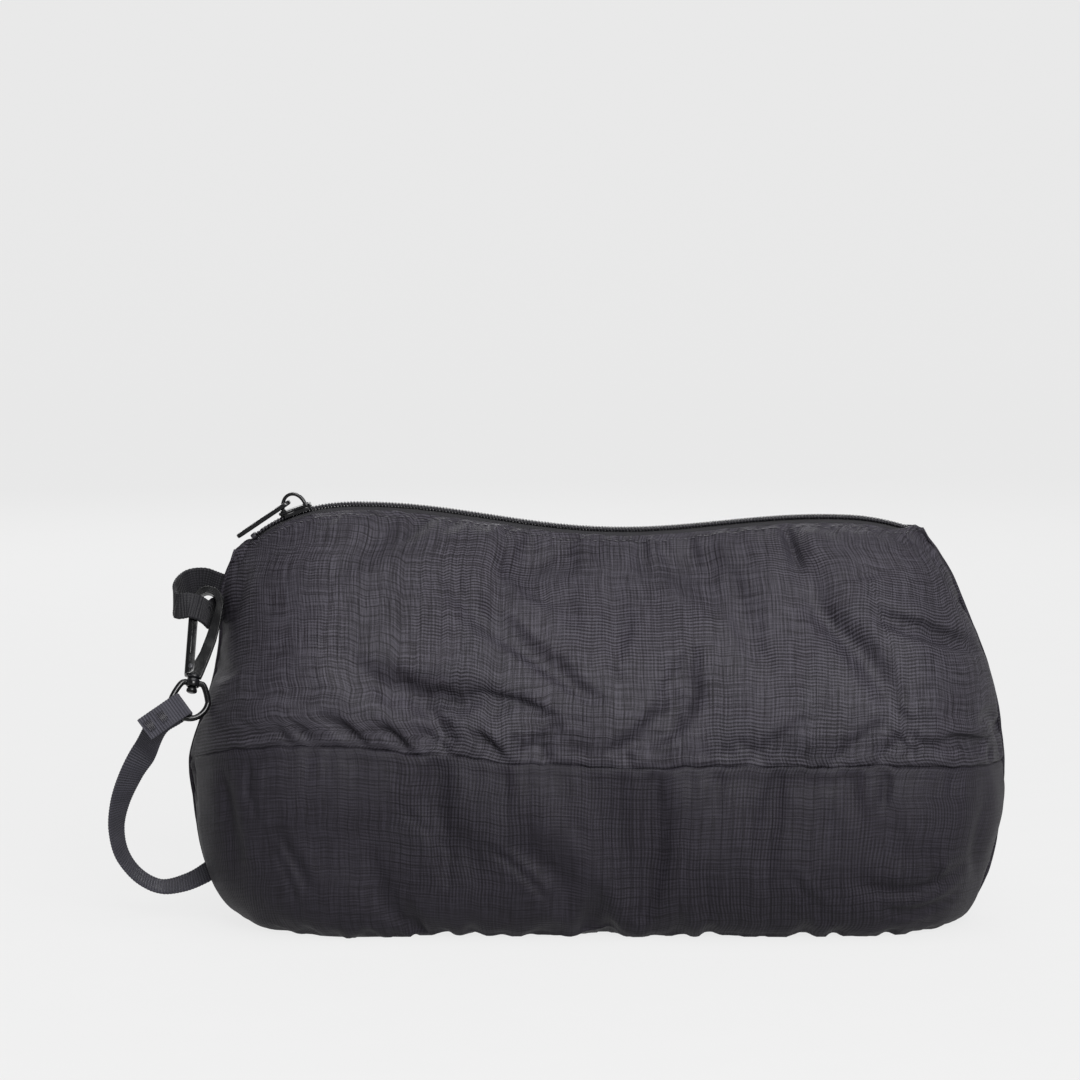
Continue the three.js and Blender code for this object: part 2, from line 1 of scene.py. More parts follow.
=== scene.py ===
"""Looks of a foldable ripstop tote, packed in its own zipped pouch. Lengths are in millimetres."""

import math

import bmesh
import bpy
import numpy as np
from mathutils import Matrix, Vector


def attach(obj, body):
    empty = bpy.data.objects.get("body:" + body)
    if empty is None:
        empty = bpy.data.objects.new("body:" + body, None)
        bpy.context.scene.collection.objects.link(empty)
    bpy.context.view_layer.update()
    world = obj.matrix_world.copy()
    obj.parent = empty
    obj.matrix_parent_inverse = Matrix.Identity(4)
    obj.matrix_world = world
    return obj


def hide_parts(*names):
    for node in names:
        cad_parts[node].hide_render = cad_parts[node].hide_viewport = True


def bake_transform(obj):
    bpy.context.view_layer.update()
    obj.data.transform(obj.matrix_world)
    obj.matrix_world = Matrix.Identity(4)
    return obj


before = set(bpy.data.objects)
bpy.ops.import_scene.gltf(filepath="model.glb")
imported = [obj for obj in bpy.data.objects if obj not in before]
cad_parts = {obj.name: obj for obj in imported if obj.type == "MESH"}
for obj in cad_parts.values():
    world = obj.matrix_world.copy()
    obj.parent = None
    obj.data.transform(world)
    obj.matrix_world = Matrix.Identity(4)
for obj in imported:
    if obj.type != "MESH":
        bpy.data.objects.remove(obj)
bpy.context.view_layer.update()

MM = 0.001

# ---- driving dimensions of the drawn pouch, which is a few millimetres off the CAD's plain one ----
SEAM_HEIGHT = 53.5
SEAM_RISE = 5.0
POUCH_HALF_LENGTH = 136.0
POUCH_HALF_DEPTH = 50.0
PANEL_EDGE = 5.6
PANEL_EDGE_DROP = 1.0
END_SHARPNESS = 11
MOUTH_SHARPNESS = 30
BASE_SLOPE = (6.0, 5.0)  # how much shorter and shallower the base is at the floor, gradually
BASE_TURN = 10.0  # and how much shallower in the turn under the pouch
TURN_LEFT = 12.5  # how much shorter at each end in that turn
TURN_RIGHT = 8.5
LEFT_INSET = 3.0  # how much further the left end of the base leans in, half way down
LEFT_OUTLINE = [136, 134.6, 131.8, 129.2, 127, 125.6, 125.1, 124.9, 121.2]
RIGHT_OUTLINE = [136, 135.2, 134, 132.6, 129.8, 126, 121.6, 116.8, 109]
MOUTH_LEFT = 115.5  # the zip opening's own ends
MOUTH_RIGHT = 107.5
COIL_LEFT = -113.0
COIL_RIGHT = 104.0
SLIDER_X = -100.0
SLIDER_TILT = math.radians(19)
PULL_ANGLE = math.radians(34)
CLIP_ORIGIN = np.array([-133.2, -19.5, 81.6])
CLIP_LEAN = math.radians(25)
CLIP_YAW = math.radians(8)

# ---- sizes of the detail ----
RIPSTOP = 3.33  # pitch of the ripstop squares
WEAVE = 0.52
FINE_RIB = 1.16
COIL_PITCH = 1.06
COIL_WIRE = 0.36
STITCH = 2.4
PANEL_THICKNESS = 0.45
HEM_RADIUS = 0.7  # of the fold along the zip
TAPE_EDGE = 6.4  # where a tape goes under the fold, before it is drawn in to PANEL_EDGE
LOOP_WIDTH = 8.6
LOOP_THICKNESS = 1.2
STRAP_WIDTH = 8.4
STRAP_THICKNESS = 1.0
COARSE_ROUNDS = 500  # of the cloth solver, on the coarse grid
FINE_ROUNDS = 260  # and on the sheet's own grid
FINE_EXTRA = 1.1  # how much more spare cloth the fine grid gets


# ---- numbers and noise ----
def lerp(a, b, t):
    return a + (b - a) * t


def smoothstep(low, high, x):
    t = np.clip((x - low) / (high - low), 0, 1)
    return t * t * (3 - 2 * t)


def catmull(values, t):
    """A smooth curve through evenly spaced values."""
    values = np.array(values, float)
    last = len(values) - 1
    at = np.minimum(t, 0.9999) * last
    i = np.floor(at).astype(int)
    t = at - i
    a, b, c, d = (values[np.clip(i + n, 0, last)] for n in (-1, 0, 1, 2))
    return b + t * (c - a + t * (2 * a - 5 * b + 4 * c - d + t * (3 * b - a - 3 * c + d))) / 2


def bumps(x, y, seed):
    """Smooth random bumps about one unit apart, from -1 to 1."""
    size = 128
    lattice = np.random.default_rng(seed).uniform(-1, 1, (size, size))
    x, y = np.broadcast_arrays(x, y)
    i, j = np.floor(x).astype(int), np.floor(y).astype(int)
    u, v = x - i, y - j
    u, v = u**3 * (u * (6 * u - 15) + 10), v**3 * (v * (6 * v - 15) + 10)
    i, j = i % size, j % size
    i2, j2 = (i + 1) % size, (j + 1) % size
    low = lerp(lattice[i, j], lattice[i2, j], u)
    high = lerp(lattice[i, j2], lattice[i2, j2], u)
    return lerp(low, high, v)


def layered(x, y, seed, octaves=3):
    total = 0
    for n in range(octaves):
        total = total + bumps(x * 2**n, y * 2**n, seed + n) / 2**n
    return total


def curve_points(points, count):
    """Points along a centripetal Catmull-Rom curve, evenly spread over its stretches, and its tangents."""
    p = np.array(points, float)
    p = np.vstack([2 * p[0] - p[1], p, 2 * p[-1] - p[-2]])
    found = []
    for share in np.linspace(0, 1, count):
        at = min(share, 0.999999) * (len(points) - 1)
        i = int(at)
        t = at - i
        q = p[i : i + 4]
        d = np.maximum(np.linalg.norm(np.diff(q, axis=0), axis=1) ** 0.5, 1e-4)
        m1 = ((q[1] - q[0]) / d[0] - (q[2] - q[0]) / (d[0] + d[1]) + (q[2] - q[1]) / d[1]) * d[1]
        m2 = ((q[2] - q[1]) / d[1] - (q[3] - q[1]) / (d[1] + d[2]) + (q[3] - q[2]) / d[2]) * d[1]
        c2 = -3 * q[1] + 3 * q[2] - 2 * m1 - m2
        c3 = 2 * q[1] - 2 * q[2] + m1 + m2
        found.append(q[1] + t * (m1 + t * (c2 + t * c3)))
    return np.array(found)


def unit(v):
    return v / np.maximum(np.linalg.norm(v, axis=-1, keepdims=True), 1e-9)


def spread(values, count):
    """Directions or numbers, given at even shares, brought to count even shares."""
    values = np.array(values, float)
    at = np.linspace(0, len(values) - 1, count)
    low = np.minimum(at.astype(int), len(values) - 2)
    t = (at - low).reshape([-1] + [1] * (values.ndim - 1))
    return lerp(values[low], values[low + 1], t)


# ---- meshes ----
def make_mesh(name, points, faces, uvs=None, smooth=True):
    mesh = bpy.data.meshes.new(name)
    mesh.from_pydata([tuple(p) for p in np.array(points) * MM], [], [tuple(f) for f in faces])
    mesh.validate()
    mesh.polygons.foreach_set("use_smooth", [smooth] * len(mesh.polygons))
    if uvs is not None:
        layer = mesh.uv_layers.new(name="UVMap")
        corner = np.empty(len(mesh.loops), int)
        mesh.loops.foreach_get("vertex_index", corner)
        layer.data.foreach_set("uv", np.array(uvs, float)[corner].ravel())
    obj = bpy.data.objects.new(name, mesh)
    bpy.context.scene.collection.objects.link(obj)
    return obj


def grid_faces(rows, columns, loop_rows=False, loop_columns=False, first=0):
    faces = []
    for i in range(rows if loop_rows else rows - 1):
        for j in range(columns if loop_columns else columns - 1):
            a, b = i * columns + j, i * columns + (j + 1) % columns
            c, d = ((i + 1) % rows) * columns + (j + 1) % columns, ((i + 1) % rows) * columns + j
            faces.append((first + a, first + b, first + c, first + d))
    return faces


def grid_object(name, points, uv, flip=False):
    """A sheet from a grid of points (rows, columns, 3), with its UV map in millimetres of cloth."""
    rows, columns = points.shape[:2]
    faces = grid_faces(rows, columns)
    if flip:
        faces = [f[::-1] for f in faces]
    return make_mesh(name, points.reshape(-1, 3), faces, uv.reshape(-1, 2))


def modify(obj, kind, **settings):
    """Adds a modifier and applies it."""
    modifier = obj.modifiers.new(kind.lower(), kind)
    for key, value in settings.items():
        setattr(modifier, key, value)
    graph = bpy.context.evaluated_depsgraph_get()
    made = bpy.data.meshes.new_from_object(obj.evaluated_get(graph))
    obj.modifiers.clear()
    obj.data = made
    return obj


def grid_normals(points):
    along = np.gradient(points, axis=1)
    across = np.gradient(points, axis=0)
    return unit(np.cross(along, across))


def grid_lengths(points, axis):
    """How far each point is along its row or column, in millimetres."""
    steps = np.linalg.norm(np.diff(points, axis=axis), axis=-1)
    start = np.zeros_like(np.take(steps, [0], axis=axis))
    return np.concatenate([start, np.cumsum(steps, axis=axis)], axis=axis)


def end_distance(points):
    """How far each point of a grid is from the nearer end of its row."""
    return np.minimum(grid_lengths(points, 1), grid_lengths(points[:, ::-1], 1)[:, ::-1])


def join(name, objects):
    """One object from several, which are removed."""
    made = bmesh.new()
    materials = []
    for obj in objects:
        for material in obj.data.materials:
            if material not in materials:
                materials.append(material)
        copy = obj.data.copy()
        copy.transform(obj.matrix_world)
        made.from_mesh(copy)
        bpy.data.meshes.remove(copy)
        bpy.data.objects.remove(obj)
    mesh = bpy.data.meshes.new(name)
    made.to_mesh(mesh)
    made.free()
    for material in materials:
        mesh.materials.append(material)
    obj = bpy.data.objects.new(name, mesh)
    bpy.context.scene.collection.objects.link(obj)
    return obj


def sweep(name, path, section, sides, closed=False, scale=None):
    """Moves a closed section along a path. sides gives the section's first axis at each point."""
    path = np.array(path, float)
    count = len(path)
    if closed:
        tangents = unit(np.roll(path, -1, axis=0) - np.roll(path, 1, axis=0))
    else:
        tangents = unit(np.gradient(path, axis=0))
    sides = np.broadcast_to(sides, path.shape)
    sides = unit(sides - tangents * np.sum(sides * tangents, axis=1, keepdims=True))
    normals = np.cross(tangents, sides)
    section = np.array(section, float)
    scale = np.ones((count, 2)) if scale is None else np.array(scale, float).reshape(count, -1)
    scale = np.broadcast_to(scale, (count, 2))
    points = (
        path[:, None]
        + sides[:, None] * (section[None, :, 0, None] * scale[:, None, 0, None])
        + normals[:, None] * (section[None, :, 1, None] * scale[:, None, 1, None])
    )
    sections = len(section)
    faces = grid_faces(count, sections, loop_rows=closed, loop_columns=True)
    if not closed:
        faces.append(tuple(range(sections))[::-1])
        faces.append(tuple(range((count - 1) * sections, count * sections)))
    length = np.concatenate([[0], np.cumsum(np.linalg.norm(np.diff(path, axis=0), axis=1))])
    uv = np.stack(np.broadcast_arrays(length[:, None], section[None, :, 0]), axis=-1)
    return make_mesh(name, points.reshape(-1, 3), faces, uv.reshape(-1, 2))


def circle(radius, count=16):
    angles = np.linspace(0, 2 * math.pi, count, endpoint=False)
    return np.stack([radius * np.cos(angles), radius * np.sin(angles)], axis=1)


def rounded_box(width, height, radius, steps=4):
    points = []
    for cx, cy, start in ((1, 1, 0), (-1, 1, 90), (-1, -1, 180), (1, -1, 270)):
        for n in range(steps + 1):
            a = math.radians(start + 90 * n / steps)
            x = cx * (width / 2 - radius) + radius * math.cos(a)
            y = cy * (height / 2 - radius) + radius * math.sin(a)
            points.append((x, y))
    return np.array(points)


def lathe(name, profile, count=32):
    """Turns a profile of (radius, height) round the Z axis. It starts and ends on the axis."""
    points, faces = [], []
    inner = [(r, z) for r, z in profile if r > 0]
    for r, z in inner:
        points += [(r * math.cos(a), r * math.sin(a), z) for a in np.linspace(0, 2 * math.pi, count, False)]
    faces += grid_faces(len(inner), count, loop_columns=True)
    for (r, z), ring in ((profile[0], 0), (profile[-1], len(inner) - 1)):
        if r == 0:
            points.append((0, 0, z))
            centre = len(points) - 1
            loop = [ring * count + n for n in range(count)]
            for n in range(count):
                edge = (loop[n], loop[(n + 1) % count])
                faces.append((edge[1], edge[0], centre) if ring == 0 else (edge[0], edge[1], centre))
    return make_mesh(name, points, faces)


def bevel_edges(obj, width, segments, sharper_than):
    """Rounds the edges that turn by more than so many degrees."""
    limit = math.radians(sharper_than)
    modify(obj, "BEVEL", width=width * MM, segments=segments, limit_method="ANGLE", angle_limit=limit)


def plate(name, outline, thickness, holes=(), round_edge=0.3, segments=3):
    """A flat piece cut to an outline in the XZ plane, centred on y = 0, with rounded edges."""
    made = bmesh.new()
    edges = []
    for loop in (outline, *holes):
        ring = [made.verts.new((x * MM, -thickness / 2 * MM, z * MM)) for x, z in loop]
        edges += [made.edges.new((ring[n], ring[(n + 1) % len(ring)])) for n in range(len(ring))]
    bmesh.ops.triangle_fill(made, use_beauty=True, use_dissolve=True, edges=edges)
    up = bmesh.ops.extrude_face_region(made, geom=list(made.faces))
    bmesh.ops.translate(
        made, verts=[v for v in up["geom"] if isinstance(v, bmesh.types.BMVert)], vec=(0, thickness * MM, 0)
    )
    bmesh.ops.recalc_face_normals(made, faces=made.faces)
    mesh = bpy.data.meshes.new(name)
    made.to_mesh(mesh)
    made.free()
    mesh.polygons.foreach_set("use_smooth", [True] * len(mesh.polygons))
    obj = bpy.data.objects.new(name, mesh)
    bpy.context.scene.collection.objects.link(obj)
    bevel_edges(obj, round_edge, segments, 40)
    return modify(obj, "WEIGHTED_NORMAL", keep_sharp=True)


def arc(cx, cz, radius, start, end, count=12):
    angles = np.radians(np.linspace(start, end, count))
    return [(cx + radius * math.cos(a), cz + radius * math.sin(a)) for a in angles]


# ---- materials ----
class Paint:
    """Builds one node material. Its methods give sockets, which feed one another."""

    def __init__(self, name):
        self.material = bpy.data.materials.new(name)
        self.material.use_nodes = True
        self.tree = self.material.node_tree
        self.shader = self.tree.nodes["Principled BSDF"]

    def put(self, node, name, value):
        socket = node.inputs[name]
        if isinstance(value, bpy.types.NodeSocket):
            self.tree.links.new(value, socket)
        else:
            socket.default_value = value

    def node(self, kind, inputs=None, **settings):
        made = self.tree.nodes.new(kind)
        for key, value in settings.items():
            setattr(made, key, value)
        for name, value in (inputs or {}).items():
            self.put(made, name, value)
        return made

    def math(self, operation, a, b=0.0):
        return self.node("ShaderNodeMath", {0: a, 1: b}, operation=operation).outputs[0]

    def ramp(self, value, low, high, to_low=0.0, to_high=1.0):
        inputs = {"Value": value, "From Min": low, "From Max": high, "To Min": to_low, "To Max": to_high}
        return self.node("ShaderNodeMapRange", inputs, interpolation_type="SMOOTHSTEP").outputs[0]

    def mix(self, share, a, b, blend="MIX"):
        made = self.node("ShaderNodeMix", {0: share, 6: a, 7: b}, data_type="RGBA", blend_type=blend)
        return made.outputs[2]

    def uv(self):
        """The cloth's own coordinates, in millimetres."""
        split = self.node("ShaderNodeSeparateXYZ", {0: self.node("ShaderNodeUVMap").outputs[0]})
        return split.outputs[0], split.outputs[1]

    def noise(self, scale, detail=2.0, vector=None, roughness=0.5):
        inputs = {"Scale": scale, "Detail": detail, "Roughness": roughness}
        if vector is not None:
            inputs["Vector"] = vector
        else:
            inputs["Vector"] = self.node("ShaderNodeTexCoord").outputs["Object"]
        return self.node("ShaderNodeTexNoise", inputs).outputs[0]

    def stretched(self, u, v, across, along, detail=1.0):
        """Noise stretched into streaks over the cloth."""
        scaled = {0: self.math("MULTIPLY", u, across), 1: self.math("MULTIPLY", v, along)}
        vector = self.node("ShaderNodeCombineXYZ", scaled)
        return self.noise(1.0, detail, vector.outputs[0])

    def wave(self, value, pitch):
        return self.math("SINE", self.math("MULTIPLY", value, 2 * math.pi / pitch))

    def line(self, value, pitch, width):
        """1 on lines pitch apart, 0 between them."""
        share = self.math("FRACT", self.math("DIVIDE", value, pitch))
        off = self.math("ABSOLUTE", self.math("SUBTRACT", share, 0.5))
        return self.ramp(off, 0.5 - width / pitch, 0.5)

    def bump(self, height, distance, normal=None, strength=1.0):
        inputs = {"Height": height, "Distance": distance, "Strength": strength}
        if normal is not None:
            inputs["Normal"] = normal
        return self.node("ShaderNodeBump", inputs).outputs[0]

    def finish(self, **inputs):
        for name, value in inputs.items():
            self.put(self.shader, name.replace("_", " "), value)
        return self.material


def colour(r, g, b):
    """A colour given as it shows on a screen, from 0 to 255."""
    linear = [c / 255 / 12.92 if c <= 10 else ((c / 255 + 0.055) / 1.055) ** 2.4 for c in (r, g, b)]
    return (*linear, 1.0)


def ripstop(name, light, dark, rib_along):
    """Ripstop nylon: a plain weave with fine ribs, crossed by squares of thicker thread."""
    paint = Paint(name)
    u, v = paint.uv()
    grid = paint.math("MAXIMUM", paint.line(u, RIPSTOP, 0.36), paint.line(v, RIPSTOP, 0.36))
    weave = paint.math("MULTIPLY", paint.wave(u, WEAVE), paint.wave(v, WEAVE))
    warped = paint.math("MULTIPLY", paint.noise(22.0, 2.0), 9.0)
    rib = paint.wave(paint.math("ADD", v if rib_along == "v" else u, warped), FINE_RIB)
    cross = paint.wave(paint.math("ADD", u if rib_along == "v" else v, warped), FINE_RIB)
    patch = paint.ramp(paint.noise(34.0, 1.0), 0.4, 0.62)
    ribs = paint.math("ADD", paint.math("MULTIPLY", rib, patch), paint.math("MULTIPLY", cross, 0.35))
    along = paint.stretched(u, v, 0.07, 2.4, 2.0)
    upright = paint.stretched(u, v, 2.4, 0.07, 2.0)
    slubs = paint.math("ADD", along, upright)
    cloudy = paint.noise(30.0, 3.0)
    shade = paint.math("ADD", paint.math("MULTIPLY", slubs, 0.75), paint.math("MULTIPLY", ribs, 0.2))
    base = paint.mix(paint.ramp(shade, 0.5, 1.02), dark, light)
    worn = paint.math("MULTIPLY", grid, paint.ramp(paint.noise(26.0, 2.0), 0.38, 0.62, 0.22, 0.62))
    base = paint.mix(worn, base, [c * 0.35 for c in dark[:3]] + [1.0])
    height = paint.math("ADD", paint.math("MULTIPLY", weave, 0.4), paint.math("MULTIPLY", grid, 1.0))
    height = paint.math("ADD", height, paint.math("ADD", paint.math("MULTIPLY", slubs, 0.8), ribs))
    crumple = paint.bump(paint.noise(170.0, 5.0, roughness=0.62), 0.0004, strength=0.45)
    return paint.finish(
        Base_Color=base,
        Roughness=paint.ramp(cloudy, 0.3, 0.7, 0.52, 0.62),
        Normal=paint.bump(height, 0.00004, crumple),
        Specular_IOR_Level=0.1,
    )


def webbing_material(name, light, dark):
    """Narrow woven tape: ribs across its width and a smooth selvedge along each edge."""
    paint = Paint(name)
    u, v = paint.uv()
    rib = paint.wave(u, 0.95)
    warp = paint.wave(v, 0.8)
    offset = paint.math("ABSOLUTE", v)
    edge = paint.ramp(offset, 3.9, 4.4)
    height = paint.math("MULTIPLY", rib, paint.math("SUBTRACT", 1.0, edge))
    height = paint.math("ADD", height, paint.math("MULTIPLY", warp, 0.35))
    streaks = paint.stretched(u, v, 0.12, 2.2, 2.0)
    shade = paint.math("ADD", paint.ramp(rib, -1.0, 1.0, 0.0, 0.5), paint.math("MULTIPLY", streaks, 0.6))
    return paint.finish(
        Base_Color=paint.mix(shade, dark, light),
        Roughness=paint.ramp(streaks, 0.3, 0.7, 0.55, 0.72),
        Normal=paint.bump(height, 0.00009, paint.bump(paint.noise(900.0, 2.0), 0.00005)),
        Sheen_Weight=0.03,
        Sheen_Roughness=0.5,
        Specular_IOR_Level=0.15,
    )


def tape_material(name, light, dark):
    """The zip's woven tape: a fine herringbone."""
    paint = Paint(name)
    u, v = paint.uv()
    slant = paint.math("ADD", u, paint.math("PINGPONG", v, 1.2))
    rib = paint.wave(slant, 0.7)
    return paint.finish(
        Base_Color=paint.mix(paint.ramp(rib, -1.0, 1.0), dark, light),
        Roughness=0.75,
        Normal=paint.bump(rib, 0.00006),
        Specular_IOR_Level=0.3,
    )


def thread_material(name, shown):
    paint = Paint(name)
    twist = paint.noise(2500.0, 2.0)
    return paint.finish(
        Base_Color=paint.mix(twist, [c * 0.6 for c in shown[:3]] + [1.0], shown),
        Roughness=0.5,
        Normal=paint.bump(twist, 0.00006),
    )


def nylon_material(name, shown):
    """Moulded nylon, slightly glossy, with a faint drawn grain."""
    paint = Paint(name)
    grain = paint.noise(1400.0, 3.0)
    return paint.finish(
        Base_Color=paint.mix(grain, [c * 0.7 for c in shown[:3]] + [1.0], shown),
        Roughness=paint.ramp(grain, 0.3, 0.7, 0.42, 0.55),
        Normal=paint.bump(grain, 0.00002),
        Specular_IOR_Level=0.22,
    )


def metal_material(name, shown, worn, rough):
    """Gloss black enamel over cast metal, rubbed paler on its edges and clouded by handling."""
    paint = Paint(name)
    clouds = paint.noise(220.0, 4.0)
    edge = paint.node("ShaderNodeNewGeometry").outputs["Pointiness"]
    bare = paint.math("MULTIPLY", paint.ramp(edge, 0.53, 0.66), paint.ramp(clouds, 0.42, 0.7))
    return paint.finish(
        Base_Color=paint.mix(bare, shown, worn),
        Roughness=paint.ramp(clouds, 0.3, 0.75, rough, rough + 0.08),
        Normal=paint.bump(paint.noise(700.0, 2.0), 0.000008),
        Specular_IOR_Level=0.2,
    )


UPPER_CLOTH = ripstop("upper_ripstop", colour(49, 47, 53), colour(19, 17, 21), "v")
BASE_CLOTH = ripstop("base_ripstop", colour(33, 31, 37), colour(19, 17, 21), "u")
WEBBING = webbing_material("strap_webbing", colour(50, 49, 56), colour(21, 21, 25))
# The loop's webbing is the strap's webbing painted much darker: painted shade for the loop's shaded place
# at the pouch's end.
LOOP_WEBBING_PAINTED_SHADE = webbing_material("loop_webbing_painted_shade", colour(21, 20, 24), colour(8, 8, 10))
TAPE = tape_material("zip_tape", colour(22, 21, 25), colour(12, 11, 14))
COIL = nylon_material("zip_coil", colour(26, 25, 29))
THREAD = thread_material("sewing_thread", colour(36, 34, 40))
METAL = metal_material("black_metal", colour(9, 9, 10), colour(44, 44, 49), 0.09)
STEEL = metal_material("spring_steel", colour(34, 34, 37), colour(110, 110, 114), 0.25)


def dress(obj, material, body, slot, *nodes):
    """Gives a piece its material, the CAD body it moves with, and the CAD nodes that it stands for."""
    obj.data.materials.clear()
    obj.data.materials.append(material)
    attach(obj, body)
    if nodes:
        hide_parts(*nodes)
    return obj


# ---- the pouch's smooth shape ----
def zip_height(x):
    wave = 3.1 * np.cos(2 * math.pi * (x + 74) / 154)
    left = np.maximum(0, (-78 - x) / 37.5) ** 2.8
    right = np.maximum(0, (x - 84) / 25) ** 2
    return 133.3 - 0.0273 * x + wave - 9.3 * left - 3 * right


def seam_height(share, side):
    """The base seam is level at the back, and rides up over a bulge towards the left of the front."""
    x = share * POUCH_HALF_LENGTH
    wave = 7.0 * np.exp(-(((x + 96) / 52) ** 2)) - 0.9 * np.exp(-(((x - 8) / 30) ** 2))
    wave = wave * (side < 0) * (1 - np.abs(share) ** 20)
    return SEAM_HEIGHT + SEAM_RISE * (1 - np.abs(share) ** 8) + wave


def mouth_width(x):
    """How far a panel's folded edge is from the zip's centre line. Past the zip's ends the edges meet."""
    reach = np.minimum(1, np.abs(x) / np.where(x < 0, MOUTH_LEFT, MOUTH_RIGHT))
    return PANEL_EDGE * (1 - reach**MOUTH_SHARPNESS)


def upper_point(share, level, side):
    """A point on an upper panel. share runs from the left end seam to the right, level from seam to zip."""
    share, level = np.broadcast_arrays(share, level)
    length = np.where(share < 0, catmull(LEFT_OUTLINE, level), catmull(RIGHT_OUTLINE, level))
    x = share * length
    edge = (0.2 + mouth_width(x)) * np.sqrt(level)
    bulge = (1 - level**1.9) ** 0.85 * (1 - np.abs(share) ** END_SHARPNESS)
    y = lerp(edge, POUCH_HALF_DEPTH, bulge)
    corners = 3.2 * smoothstep(97, 107, x) + 2.6 * smoothstep(112, 118, -x)
    top = zip_height(x) - PANEL_EDGE_DROP + corners
    z = lerp(seam_height(share, side), top, level)
    return np.stack([x, side * y, z], axis=-1)


def base_point(share, level, side):
    """A point on the base's side wall. level runs from the flat underside to the seam."""
    share, level = np.broadcast_arrays(share, level)
    slope, turned = (1 - level) ** 1.6, (1 - level) ** 5
    inset = BASE_SLOPE[0] * slope + np.where(share < 0, TURN_LEFT, TURN_RIGHT) * turned
    inset = inset + LEFT_INSET * (share < 0) * level * (1 - level)
    x = share * (POUCH_HALF_LENGTH - inset)
    depth = POUCH_HALF_DEPTH - BASE_SLOPE[1] * slope - BASE_TURN * turned
    y = depth * (1 - np.abs(share) ** END_SHARPNESS)
    return np.stack([x, side * y, level * seam_height(share, side)], axis=-1)


def even_shares(count, at):
    """Shares along a curve that are evenly far apart, measured on the curve at(share)."""
    fine = np.linspace(-1, 1, 4001)
    length = grid_lengths(at(fine)[None], 1)[0]
    return np.interp(np.linspace(0, length[-1], count), length, fine)


# ---- folds ----
def fold(x, z, start, end, depth, width, bend=0.0, ridge=0.45):
    """The depth of one soft fold between two points: a valley with a ridge along one side."""
    start, end = np.array(start, float), np.array(end, float)
    run = end - start
    length = np.linalg.norm(run)
    run = run / length
    along = ((x - start[0]) * run[0] + (z - start[1]) * run[1]) / length
    off = (x - start[0]) * -run[1] + (z - start[1]) * run[0]
    off = off - bend * 4 * along * (1 - along)
    taper = smoothstep(-0.12, 0.3, along) * (1 - smoothstep(0.65, 1.15, along))
    valley = np.exp(-((off / width) ** 2))
    lip = np.exp(-(((off - 1.9 * width) / (1.2 * width)) ** 2))
    return depth * taper * (ridge * lip - valley)


# Each fold has a start, an end, a depth, a half width and a bend. Some also have the share of a ridge.
FRONT_FOLDS = [
    ((-84, 72), (-74, 60.5), 1.5, 1.9, 1.0),
    ((-70, 71), (-60, 60), 1.5, 1.9, 1.0),
    ((-58, 70), (-47, 59.5), 1.3, 1.9, 1.0),
    ((-40, 69), (-31, 59), 1.5, 1.8, 0.8),
    ((-96, 70), (-90, 62), 0.9, 2.0, 0.0),
    ((-20, 66), (-14, 59), 0.6, 1.6, 0.0),
    ((-84, 90), (-40, 83), 1.6, 6.0, -3.0),
    ((-50, 84), (-12, 70), 0.9, 3.0, 3.0),
    ((62, 133), (67, 120), 1.8, 3.2, 0.0),
    ((66, 112), (96, 76), 2.6, 6.5, 4.0),
    ((82, 106), (123, 93), 1.9, 2.0, 2.5),
    ((80, 117), (98, 119), 0.9, 2.0, 0.0),
    ((93, 77), (101, 71), 1.0, 1.5, 0.0),
    ((96, 72), (110, 61), 1.2, 1.9, -1.0),
    ((108, 66), (126, 62), 1.6, 2.6, 0.0),
    ((104, 130), (112, 116), 1.3, 2.6, 0.0),
    ((-118, 122), (-122, 96), 1.6, 3.0, 2.0),
    ((-112, 128), (-96, 132), 0.9, 2.4, 0.0),
    ((-44, 124), (52, 123), 1.5, 4.0, 3.0, 0.6),
    ((-20, 112), (34, 108), 0.9, 5.0, 0.0),
    ((60, 124), (76, 108), 1.6, 4.5, 0.0),
    ((-80, 88), (-14, 74), 1.2, 5.0, -2.0),
    ((-75, 116), (-40, 111), 0.7, 4.0, 1.0),
    ((18, 92), (24, 66), 0.7, 3.0, 2.0),
]
FRONT_CREASES = [
    ((-44, 118), (58, 117), 1.4, 7.0, 3.0),
    ((-84, 85), (-16, 75), 0.6, 4.0, -1.0),
    ((-41, 82), (-13, 73.5), 0.7, 1.0, 1.5),
    ((90, 104.5), (124, 92.5), 1.9, 1.9, 1.0),
    ((-85, 74), (-72, 61), 0.8, 1.0, 1.0),
    ((-71, 72.5), (-59, 60.5), 0.9, 1.0, 1.0),
    ((-58, 70), (-45, 60), 0.7, 0.9, 0.8),
    ((-39, 69.5), (-29.5, 59), 0.8, 1.0, 0.6),
    ((-104, 71), (-96, 62), 0.6, 1.2, 0.0),
    ((-117, 73), (-108, 68), 0.4, 0.8, 0.0),
    ((62, 132), (66, 120), 0.8, 1.3, 0.0),
    ((93, 70.5), (107, 60), 0.7, 0.9, -1.0),
    ((76, 117), (94, 118.5), 0.5, 0.9, 0.0),
    ((64, 111), (95, 77), 1.3, 3.8, 3.0),
    ((113, 67), (131, 62), 0.7, 1.2, 0.5),
    ((100, 133), (109, 118), 0.6, 1.0, 1.0),
    ((104, 134), (117, 122), 0.5, 0.9, 0.5),
]
